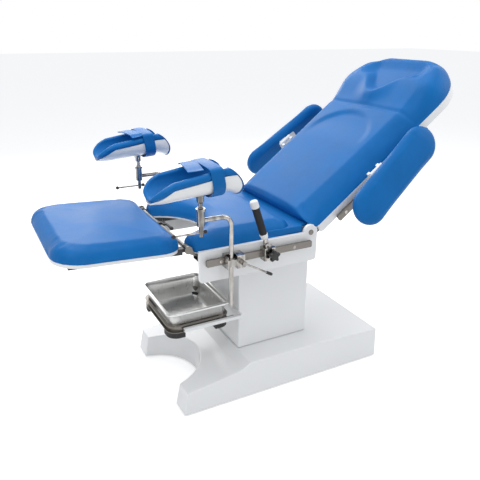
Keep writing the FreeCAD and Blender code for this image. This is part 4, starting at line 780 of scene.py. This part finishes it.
def calf_pad(sizes):
    """Blue padding inside the trough, its lip rolled over the cover's edge and held in by the strap."""
    pad, share, side, depth = trough_slab(150, 150)
    _, foot_z, corner = trough_point(FOOT_MEASURE, side, 0.0, 0.0)
    _, knee_z, _ = trough_point(KNEE_MEASURE, side, 0.0, 0.0)
    foot = pad_foot(foot_z) + 0.013 * (1.0 - np.clip(corner / 0.018, 0.0, 1.0)) ** 2
    knee = pad_knee(knee_z)
    u = foot + share * (knee - foot)
    _, z, from_rim = trough_point(u, side, 0.0, 0.0)
    slope = (pad_foot(foot_z + 0.001) - pad_foot(foot_z - 0.001)) / 0.002
    from_foot = (u - foot) / np.sqrt(1.0 + slope ** 2)
    from_edge = np.minimum(np.minimum(from_foot, from_rim), knee - u)
    from_edge = np.clip(from_edge, 0.0, None)
    beyond = np.maximum(np.maximum(LIP - from_rim, shell_foot(z) - u), u - shell_knee(z))
    proud = smoothstep(0.0005, 0.0032, beyond)
    proud = proud * (1.0 - smoothstep(0.060, 0.030, z) * (u < 0.0))
    strapped = smoothstep(0.004, 0.017, u) * (1.0 - smoothstep(0.060, 0.073, u))
    belly = np.sin(np.clip(from_rim / LIP, 0.0, 1.0) * math.pi) * (1.0 - strapped)
    outer = -0.0050 + proud * (0.0062 + 0.0030 * belly - 0.0016 * strapped)
    inner = -0.0050 - sizes.calf_pad - 0.0020 * smoothstep(0.0, 0.05, from_edge)
    middle = (outer + inner) / 2.0
    roundness = np.sqrt(np.clip(1.0 - (1.0 - np.clip(from_edge / 0.0105, 0.0, 1.0)) ** 2, 0.0, 1.0))
    at_knee = smoothstep(0.0, 0.012, knee - u)
    grow = middle + (outer - middle) * (1.0 - 2.0 * depth) * (roundness * at_knee + 1.0 - at_knee)
    y, z, _ = trough_point(u, side, grow, 0.0)
    move_points(pad, np.stack([u, y, z], axis=1))
    tidy_normals(pad)
    smooth(pad, 2)
    return pad


def place_calf(piece, sign):
    turn = Matrix.Rotation(math.radians(-4.0), 4, "Y")
    move_by(piece, Matrix.Translation((SOCKET_X, -SUPPORT_Y, BALL_Z)) @ turn)
    if sign > 0:
        mirror_piece(piece)


def calf_rests(sizes):
    for side, sign in SIDES:
        shell = calf_shell()
        place_calf(shell, sign)
        finish_piece(shell, "calf_cover_" + side, "calf_rest_" + side, "white_cover",
                     replaced="calf_shell_" + side, flat_angle=40)
        cup = turned(CUP_PROFILE, 56)
        cut_away(cup, ball((0.0, 0.0, 0.0), CUP_HOLLOW))
        place_calf(cup, sign)
        finish_piece(cup, "calf_cup_" + side, "calf_rest_" + side, "bright_steel", flat_angle=40)
        pad = calf_pad(sizes)
        place_calf(pad, sign)
        finish_piece(pad, "calf_pad_soft_" + side, "calf_rest_" + side, "blue_vinyl",
                     replaced="calf_pad_" + side)


# Straps of the calf rests


# Half width of the strap's loop, its lowest and rim height and the arch over the top
STRAP_HALF = 0.0765
STRAP_LOW = 0.0110
STRAP_RIM = 0.1060
STRAP_ARCH = 0.0090


def strap_line(steps):
    """Closed line of the strap across the trough: under it, up its near side, over the top and down."""
    rise = 0.75 * STRAP_HALF
    spring = STRAP_LOW + rise
    angle = np.linspace(0.0, math.pi, 400)
    under = np.stack([STRAP_HALF * np.cos(angle), spring - rise * np.sin(angle)], axis=1)
    over_top = STRAP_RIM - 0.006 + (STRAP_ARCH + 0.006) * np.sin(angle) ** 0.42
    over = np.stack([-STRAP_HALF * np.cos(angle), over_top], axis=1)
    line = np.concatenate([under, over, under[:1]])
    lengths = np.concatenate([[0.0], np.cumsum(np.linalg.norm(np.diff(line, axis=0), axis=1))])
    along = np.linspace(0.0, lengths[-1], steps)
    return np.interp(along, lengths, line[:, 0]), np.interp(along, lengths, line[:, 1]), lengths[-1]


def grid_sheet(along, across):
    """Flat grid with the share of each point along it and across it."""
    clear_selection()
    bpy.ops.mesh.primitive_grid_add(x_subdivisions=along, y_subdivisions=across, size=2.0)
    sheet = bpy.context.object
    points = points_of(sheet)
    return sheet, (points[:, 0] + 1.0) / 2.0, (points[:, 1] + 1.0) / 2.0


def thicken(sheet, thickness):
    apply_modifier(sheet, "SOLIDIFY", thickness=thickness, offset=1.0)
    tidy_normals(sheet)
    apply_modifier(sheet, "BEVEL", width=thickness * 0.4, segments=3, limit_method="ANGLE")


def strap_band():
    """Band round the calf rest, domed a little across its width and slanting towards the foot as it rises.
    """
    low_u, high_u = 0.0175, 0.0600
    steps = 4001
    band, across, along = grid_sheet(8, 160)
    y_line, z_line, length = strap_line(steps)
    y = np.interp(along, np.linspace(0.0, 1.0, steps), y_line)
    z = np.interp(along, np.linspace(0.0, 1.0, steps), z_line)
    crown = 0.0012 * (1.0 - (2.0 * across - 1.0) ** 2)
    scale = 1.0 + crown / 0.08
    u = low_u + across * (high_u - low_u) - 0.0025 - 0.0065 * (z - 0.050) / 0.060
    move_points(band, np.stack([u, y * scale, z + crown * (z > 0.09)], axis=1))
    tidy_normals(band)
    thicken(band, 0.0024)
    return band, (high_u - low_u, length)


def strap_flap():
    """Free end of the strap, laid over the rims beside the band and lifted at its edges."""
    width, length = 0.050, 0.136
    flap, along, across = grid_sheet(48, 18)
    reach = (along - 0.5) * length
    aside = (across - 0.5) * width
    turn = math.radians(9.0)
    u = -0.0190 + aside * math.cos(turn) + reach * math.sin(turn)
    y = 0.0080 - aside * math.sin(turn) + reach * math.cos(turn)
    z = STRAP_RIM + STRAP_ARCH + 0.0022
    z = z - 0.0080 * smoothstep(0.050, 0.078, y) - 0.0030 * smoothstep(0.020, 0.060, -y)
    z = z + 0.0016 * smoothstep(0.000, 0.017, u) + 0.0008 * np.cos(reach * 60.0)
    move_points(flap, np.stack([u, y, z], axis=1))
    thicken(flap, 0.0034)
    return flap, (width, length)


def calf_straps():
    for side, sign in SIDES:
        band, flat = strap_band()
        place_calf(band, sign)
        finish_piece(band, "calf_strap_band_" + side, "calf_rest_" + side, "blue_strap",
                     replaced="calf_strap_" + side, flat_angle=50)
        flap, flat = strap_flap()
        place_calf(flap, sign)
        finish_piece(flap, "calf_strap_flap_" + side, "calf_rest_" + side, "blue_strap", flat_angle=50)


# Turned and pressed fittings


def turned(profile, sides=48):
    """Turned part: a circle extruded upwards step by step through (radius, height) pairs."""
    clear_selection()
    radius, height = profile[0]
    bpy.ops.mesh.primitive_circle_add(vertices=sides, radius=radius, fill_type="NGON")
    piece = bpy.context.object
    shift_by(piece, (0.0, 0.0, height))
    set_mode("EDIT")
    bpy.ops.mesh.select_all(action="SELECT")
    for next_radius, next_height in profile[1:]:
        rise = (0.0, 0.0, next_height - height)
        bpy.ops.mesh.extrude_region_move(TRANSFORM_OT_translate={"value": rise})
        ratio = next_radius / radius
        bpy.ops.transform.resize(value=(ratio, ratio, 1.0), center_override=(0.0, 0.0, next_height))
        radius, height = next_radius, next_height
    bpy.ops.mesh.select_all(action="SELECT")
    bpy.ops.mesh.normals_make_consistent(inside=False)
    set_mode("OBJECT")
    return piece


GRIP_PIVOT = Vector((-0.135 + COLUMN_X, -0.303, 0.650))
GRIP_LEAN = math.radians(-18.7)


def onto_grip(piece):
    move_by(piece, Matrix.Translation(GRIP_PIVOT) @ Matrix.Rotation(GRIP_LEAN, 4, "Y"))


def hand_grip():
    """Handle of the grip: a ribbed rubber sleeve between two white caps, on a steel neck with its eye."""
    rib_count = 43
    rib_step = 0.00245
    profile = [(0.0105, 0.0455)]
    for index in range(rib_count):
        height = 0.0460 + index * rib_step
        profile += [(0.0133, height), (0.0133, height + 0.0015), (0.0125, height + 0.0018),
                    (0.0125, height + 0.0022)]
    profile.append((0.0105, 0.1512))
    sleeve = turned(profile, 56)
    onto_grip(sleeve)
    finish_piece(sleeve, "grip_sleeve", "grip", "black_plastic", "black_rubber",
                 replaced="hand_grip", flat_angle=40)
    top = turned([(0.0110, 0.1505), (0.0143, 0.1510), (0.0146, 0.1520), (0.0146, 0.1705), (0.0142, 0.1730),
                  (0.0128, 0.1752), (0.0105, 0.1764), (0.0060, 0.1770), (0.0058, 0.1766),
                  (0.0010, 0.1766)], 56)
    onto_grip(top)
    finish_piece(top, "grip_top_cap", "grip", "white_cover", "white_plastic", flat_angle=35)
    low = turned([(0.0070, 0.0262), (0.0108, 0.0264), (0.0118, 0.0275), (0.0140, 0.0390), (0.0145, 0.0420),
                  (0.0145, 0.0452), (0.0138, 0.0460), (0.0110, 0.0462)], 56)
    onto_grip(low)
    finish_piece(low, "grip_low_cap", "grip", "white_cover", "white_plastic", flat_angle=35)
    neck = turned([(0.0050, 0.0070), (0.0052, 0.0095), (0.0085, 0.0112), (0.0092, 0.0135), (0.0092, 0.0160),
                   (0.0080, 0.0180), (0.0064, 0.0192), (0.0064, 0.0262), (0.0050, 0.0266)], 40)
    eye = block((-0.0085, -0.0050, -0.0085), (0.0085, 0.0050, 0.0100))
    bevel_edges(eye, lambda a, b: abs(a.y - b.y) > 0.005, 0.006, 8)
    neck = join([neck, eye])
    onto_grip(neck)
    finish_piece(neck, "grip_neck", "grip", "bright_steel", flat_angle=35)


KNOB_X = -0.121 + COLUMN_X
RAIL_Z = 0.616


def star_knob():
    """Five-lobed knob of moulded plastic."""
    clear_selection()
    bpy.ops.mesh.primitive_cylinder_add(vertices=120, radius=0.0180, depth=0.0165)
    knob = bpy.context.object
    points = points_of(knob)
    angle = np.arctan2(points[:, 1], points[:, 0])
    ratio = 1.0 + 0.21 * np.cos(5.0 * angle)
    points[:, 0] *= ratio
    points[:, 1] *= ratio
    move_points(knob, points)
    bevel_edges(knob, lambda a, b: abs(a.z - b.z) < 1e-6, 0.0035, 4)
    quarter = math.radians(90.0)
    move_by(knob, Matrix.Rotation(quarter, 4, "X") @ Matrix.Rotation(quarter, 4, "Z"))
    shift_by(knob, (KNOB_X, -0.3335, RAIL_Z))
    neck = cylinder((KNOB_X, -0.3185, RAIL_Z), (KNOB_X, -0.3260, RAIL_Z), 0.0085, 40)
    knob = join([knob, neck])
    finish_piece(knob, "star_knob", "grip_lock", "black_plastic", replaced="grip_knob", flat_angle=40)


def lever_tips():
    """Black grips over the ends of the clamp levers, and black balls on the ends of the T-bars."""
    slope = math.radians(-30.0)
    lever_reach = 0.1045
    bar_z = 0.742
    bar_ends = (("foot", SOCKET_X - 0.094), ("head", SOCKET_X + 0.015))
    along = Vector((math.cos(slope), 0.0, math.sin(slope)))
    turn = along.to_track_quat("Z", "Y").to_matrix().to_4x4()
    for side, sign in SIDES:
        start = Vector((-0.246 + COLUMN_X, sign * 0.3404, RAIL_Z))
        tip = turned([(0.0040, 0.0), (0.0050, 0.0008), (0.0054, 0.0040), (0.0057, 0.0200), (0.0052, 0.0240),
                      (0.0036, 0.0258), (0.0010, 0.0262)], 32)
        move_by(tip, Matrix.Translation(start + along * lever_reach) @ turn)
        finish_piece(tip, "lever_tip_" + side, "leg_lever_" + side, "black_plastic", flat_angle=40)
        for end, x in bar_ends:
            knob = ball((x, sign * SUPPORT_Y, bar_z), 0.0069)
            finish_piece(knob, "bar_ball_" + end + "_" + side, "stem_bar_" + side, "black_plastic")


# Steps of the pan's section from its rim to its floor: how far inwards and how far up
PAN_STEPS = (
    (0.0, 0.0036), (0.0004, 0.0010), (0.0012, 0.0006), (0.0080, 0.0), (0.0012, -0.0005), (0.0008, -0.0014),
    (0.0006, -0.0120), (0.0012, -0.0018), (0.0028, -0.0010), (0.0010, -0.0018), (0.0030, -0.0300),
    (0.0040, -0.0380), (0.0016, -0.0050), (0.0034, -0.0044), (0.0050, -0.0028), (0.0160, -0.0008),
    (0.0400, 0.0003))


def drain_pan():
    """Pressed steel pan: rolled rim, a stacking step, drafted walls and a round floor edge."""
    half_x = 0.1313
    half_y = 0.1613
    corner = 0.023
    thickness = 0.0011
    clear_selection()
    bpy.ops.mesh.primitive_plane_add(size=2.0)
    pan = bpy.context.object
    move_by(pan, Matrix.Diagonal((half_x, half_y, 1.0, 1.0)))
    set_mode("EDIT")
    bpy.ops.mesh.select_all(action="SELECT")
    bpy.ops.mesh.bevel(offset=corner, segments=10, affect="VERTICES")
    bpy.ops.mesh.select_all(action="SELECT")
    bpy.ops.mesh.delete(type="ONLY_FACE")
    bpy.ops.mesh.select_all(action="SELECT")
    inset = 0.0
    for inward, rise in PAN_STEPS:
        bpy.ops.mesh.extrude_region_move(TRANSFORM_OT_translate={"value": (0.0, 0.0, rise)})
        ratio_x = (half_x - inset - inward) / (half_x - inset)
        ratio_y = (half_y - inset - inward) / (half_y - inset)
        bpy.ops.transform.resize(value=(ratio_x, ratio_y, 1.0), center_override=(0.0, 0.0, 0.0))
        inset += inward
    bpy.ops.mesh.edge_face_add()
    bpy.ops.mesh.select_all(action="SELECT")
    bpy.ops.mesh.normals_make_consistent(inside=False)
    set_mode("OBJECT")
    apply_modifier(pan, "SOLIDIFY", thickness=thickness, offset=-1.0)
    sharp = math.radians(40.0)
    apply_modifier(pan, "BEVEL", width=0.0008, segments=2, limit_method="ANGLE", angle_limit=sharp)
    shift_by(pan, (-0.328 + COLUMN_X, 0.0, 0.3692))
    finish_piece(pan, "drain_pan_pressed", "pan", "bright_steel", "pan_steel",
                 replaced="drain_pan", flat_angle=30)


# Stage


def seen_rays(tree):
    """1 for rays that show the backdrop: from the camera, off shiny surfaces or through clear ones."""
    path = tree.nodes.new("ShaderNodeLightPath")
    value = path.outputs["Is Camera Ray"]
    for name in ("Is Glossy Ray", "Is Transmission Ray"):
        either = tree.nodes.new("ShaderNodeMath")
        either.operation = "MAXIMUM"
        tree.links.new(value, either.inputs[0])
        tree.links.new(path.outputs[name], either.inputs[1])
        value = either.outputs["Value"]
    return value


def add_floor():
    """White floor that still takes the table's shadow."""
    clear_selection()
    bpy.ops.mesh.primitive_plane_add(size=60.0, location=(0.0, 0.0, 0.0))
    floor = bpy.context.object
    floor.name = "studio_floor"
    material = bpy.data.materials.new("pale floor")
    material.use_nodes = True
    tree = material.node_tree
    tree.nodes.remove(tree.nodes["Principled BSDF"])
    output = tree.nodes["Material Output"]
    diffuse = tree.nodes.new("ShaderNodeBsdfDiffuse")
    set_inputs(diffuse, Color=(0.80, 0.80, 0.80, 1.0))
    glow = tree.nodes.new("ShaderNodeEmission")
    set_inputs(glow, Color=(1.0, 1.0, 1.0, 1.0), Strength=0.50)
    total = tree.nodes.new("ShaderNodeAddShader")
    mix = tree.nodes.new("ShaderNodeMixShader")
    tree.links.new(diffuse.outputs[0], total.inputs[0])
    tree.links.new(glow.outputs[0], total.inputs[1])
    tree.links.new(seen_rays(tree), mix.inputs[0])
    tree.links.new(diffuse.outputs[0], mix.inputs[1])
    tree.links.new(total.outputs[0], mix.inputs[2])
    tree.links.new(mix.outputs[0], output.inputs["Surface"])
    floor.data.materials.append(material)


def add_backdrop():
    """White to the camera and a dimmer pale sky for everything else."""
    world = bpy.data.worlds.new("studio")
    bpy.context.scene.world = world
    world.use_nodes = True
    background = world.node_tree.nodes["Background"]
    set_inputs(background, Color=(0.93, 0.96, 1.0, 1.0), Strength=0.55)
    white = world.node_tree.nodes.new("ShaderNodeBackground")
    set_inputs(white, Color=(1.0, 1.0, 1.0, 1.0), Strength=1.0)
    choose = world.node_tree.nodes.new("ShaderNodeMixShader")
    links = world.node_tree.links
    links.new(seen_rays(world.node_tree), choose.inputs[0])
    links.new(background.outputs[0], choose.inputs[1])
    links.new(white.outputs[0], choose.inputs[2])
    links.new(choose.outputs[0], world.node_tree.nodes["World Output"].inputs["Surface"])


# Name, place, target, width and power of each lamp
LAMPS = (
    ("top light", (0.0, 0.3, 3.6), (0.0, 0.0, 0.4), 3.2, 43.0),
    ("key light", (-2.2, -1.0, 2.9), (0.0, 0.0, 0.6), 1.8, 23.0),
    ("fill light", (-0.9, -3.0, 1.2), (0.0, 0.0, 0.6), 1.6, 8.0),
    ("head light", (2.6, -1.2, 2.6), (0.2, 0.0, 0.7), 2.0, 23.0),
    ("far light", (0.4, 3.0, 2.5), (0.1, 0.0, 0.4), 2.6, 54.0))


def add_lamps():
    for name, place, target, size, power in LAMPS:
        bpy.ops.object.light_add(type="AREA", location=place)
        light = bpy.context.object
        light.name = name
        light.data.shape = "SQUARE"
        light.data.size = size
        light.data.energy = power
        light.rotation_euler = (Vector(target) - Vector(place)).to_track_quat("-Z", "Y").to_euler()


# Camera fitted to the photograph: place, point it looks at, roll and focal length in millimetres
CAMERA_PLACE = Vector((-1.0457 + COLUMN_X, -1.8230, 1.3574))
CAMERA_TARGET = Vector((-0.0805 + COLUMN_X, 0.0, 0.5523))
CAMERA_ROLL = math.radians(0.44)
CAMERA_LENS = 40.884


def add_camera():
    bpy.ops.object.camera_add()
    camera = bpy.context.object
    camera.name = "photo camera"
    turn = (CAMERA_TARGET - CAMERA_PLACE).to_track_quat("-Z", "Y").to_matrix().to_4x4()
    roll_turn = Matrix.Rotation(CAMERA_ROLL, 4, "Z")
    camera.matrix_world = Matrix.Translation(CAMERA_PLACE) @ turn @ roll_turn
    camera.data.sensor_fit = "HORIZONTAL"
    camera.data.sensor_width = 36.0
    camera.data.lens = CAMERA_LENS
    camera.data.clip_end = 100.0
    bpy.context.scene.camera = camera
    bpy.context.scene.view_settings.view_transform = "Standard"


# Operators


class TABLE_OT_stage(bpy.types.Operator):
    """Adds the floor, the lights and the camera"""
    bl_idname = "exam_table.stage"
    bl_label = "Stage"

    def execute(self, context):
        add_floor()
        add_backdrop()
        add_lamps()
        add_camera()
        return {"FINISHED"}


class TABLE_OT_frame(bpy.types.Operator):
    """Gives every solid of the table its finish"""
    bl_idname = "exam_table.frame"
    bl_label = "Covers, steel and plastics"

    def execute(self, context):
        make_finishes(context.scene.exam_table_colours)
        for part in frame["record"]["subparts"]:
            dress(part["node"], part["material_slot"])
        for node, finish in OTHER_FINISHES:
            dress(node, finish)
        return {"FINISHED"}


class TABLE_OT_back_cushion(bpy.types.Operator):
    """Makes the back cushion with its neck roll, head bowl and waist dish"""
    bl_idname = "exam_table.back_cushion"
    bl_label = "Back cushion"

    def execute(self, context):
        back_cushion(context.scene.exam_table_sizes)
        return {"FINISHED"}


class TABLE_OT_seat_cushion(bpy.types.Operator):
    """Makes the seat cushion with its round cut and the rear pad"""
    bl_idname = "exam_table.seat_cushion"
    bl_label = "Seat cushion"

    def execute(self, context):
        seat_cushion(context.scene.exam_table_sizes)
        return {"FINISHED"}


class TABLE_OT_leg_cushion(bpy.types.Operator):
    """Makes the cushion of the leg section"""
    bl_idname = "exam_table.leg_cushion"
    bl_label = "Leg cushion"

    def execute(self, context):
        leg_cushion(context.scene.exam_table_sizes)
        return {"FINISHED"}


class TABLE_OT_arm_pads(bpy.types.Operator):
    """Makes the two arm pads"""
    bl_idname = "exam_table.arm_pads"
    bl_label = "Arm pads"

    def execute(self, context):
        arm_pads(context.scene.exam_table_sizes)
        return {"FINISHED"}


class TABLE_OT_calf_rests(bpy.types.Operator):
    """Makes the covers and pads of the two calf rests"""
    bl_idname = "exam_table.calf_rests"
    bl_label = "Calf rests"

    def execute(self, context):
        calf_rests(context.scene.exam_table_sizes)
        return {"FINISHED"}


class TABLE_OT_calf_straps(bpy.types.Operator):
    """Makes the straps of the calf rests"""
    bl_idname = "exam_table.calf_straps"
    bl_label = "Calf straps"

    def execute(self, context):
        calf_straps()
        return {"FINISHED"}


class TABLE_OT_hand_grip(bpy.types.Operator):
    """Makes the hand grip and its star knob"""
    bl_idname = "exam_table.hand_grip"
    bl_label = "Hand grip"

    def execute(self, context):
        hand_grip()
        star_knob()
        return {"FINISHED"}


class TABLE_OT_lever_tips(bpy.types.Operator):
    """Adds the black tips of the levers and T-bars"""
    bl_idname = "exam_table.lever_tips"
    bl_label = "Lever tips"

    def execute(self, context):
        lever_tips()
        return {"FINISHED"}


class TABLE_OT_drain_pan(bpy.types.Operator):
    """Makes the pressed steel pan"""
    bl_idname = "exam_table.drain_pan"
    bl_label = "Drain pan"

    def execute(self, context):
        drain_pan()
        return {"FINISHED"}


OPERATORS = (
    TABLE_OT_stage,
    TABLE_OT_frame,
    TABLE_OT_back_cushion,
    TABLE_OT_seat_cushion,
    TABLE_OT_leg_cushion,
    TABLE_OT_arm_pads,
    TABLE_OT_calf_rests,
    TABLE_OT_calf_straps,
    TABLE_OT_hand_grip,
    TABLE_OT_lever_tips,
    TABLE_OT_drain_pan,
)


class TABLE_PT_panel(bpy.types.Panel):
    """Lists the steps that dress the table"""
    bl_idname = "TABLE_PT_panel"
    bl_label = "Exam Table"
    bl_space_type = "VIEW_3D"
    bl_region_type = "UI"
    bl_category = "Exam Table"

    def draw(self, context):
        layout = self.layout
        for settings in (context.scene.exam_table_sizes, context.scene.exam_table_colours):
            for name in settings.__annotations__:
                layout.prop(settings, name)
        for operator in OPERATORS:
            layout.operator(operator.bl_idname)


CLASSES = (TableSizes, TableColours) + OPERATORS + (TABLE_PT_panel,)


def register():
    for item in CLASSES:
        bpy.utils.register_class(item)
    bpy.types.Scene.exam_table_sizes = bpy.props.PointerProperty(type=TableSizes)
    bpy.types.Scene.exam_table_colours = bpy.props.PointerProperty(type=TableColours)


def unregister():
    del bpy.types.Scene.exam_table_colours
    del bpy.types.Scene.exam_table_sizes
    for item in reversed(CLASSES):
        bpy.utils.unregister_class(item)


def main():
    register()
    bpy.ops.exam_table.stage()
    bpy.ops.exam_table.frame()
    bpy.ops.exam_table.back_cushion()
    bpy.ops.exam_table.seat_cushion()
    bpy.ops.exam_table.leg_cushion()
    bpy.ops.exam_table.arm_pads()
    bpy.ops.exam_table.calf_rests()
    bpy.ops.exam_table.calf_straps()
    bpy.ops.exam_table.hand_grip()
    bpy.ops.exam_table.lever_tips()
    bpy.ops.exam_table.drain_pan()


if __name__ == "__main__":
    main()
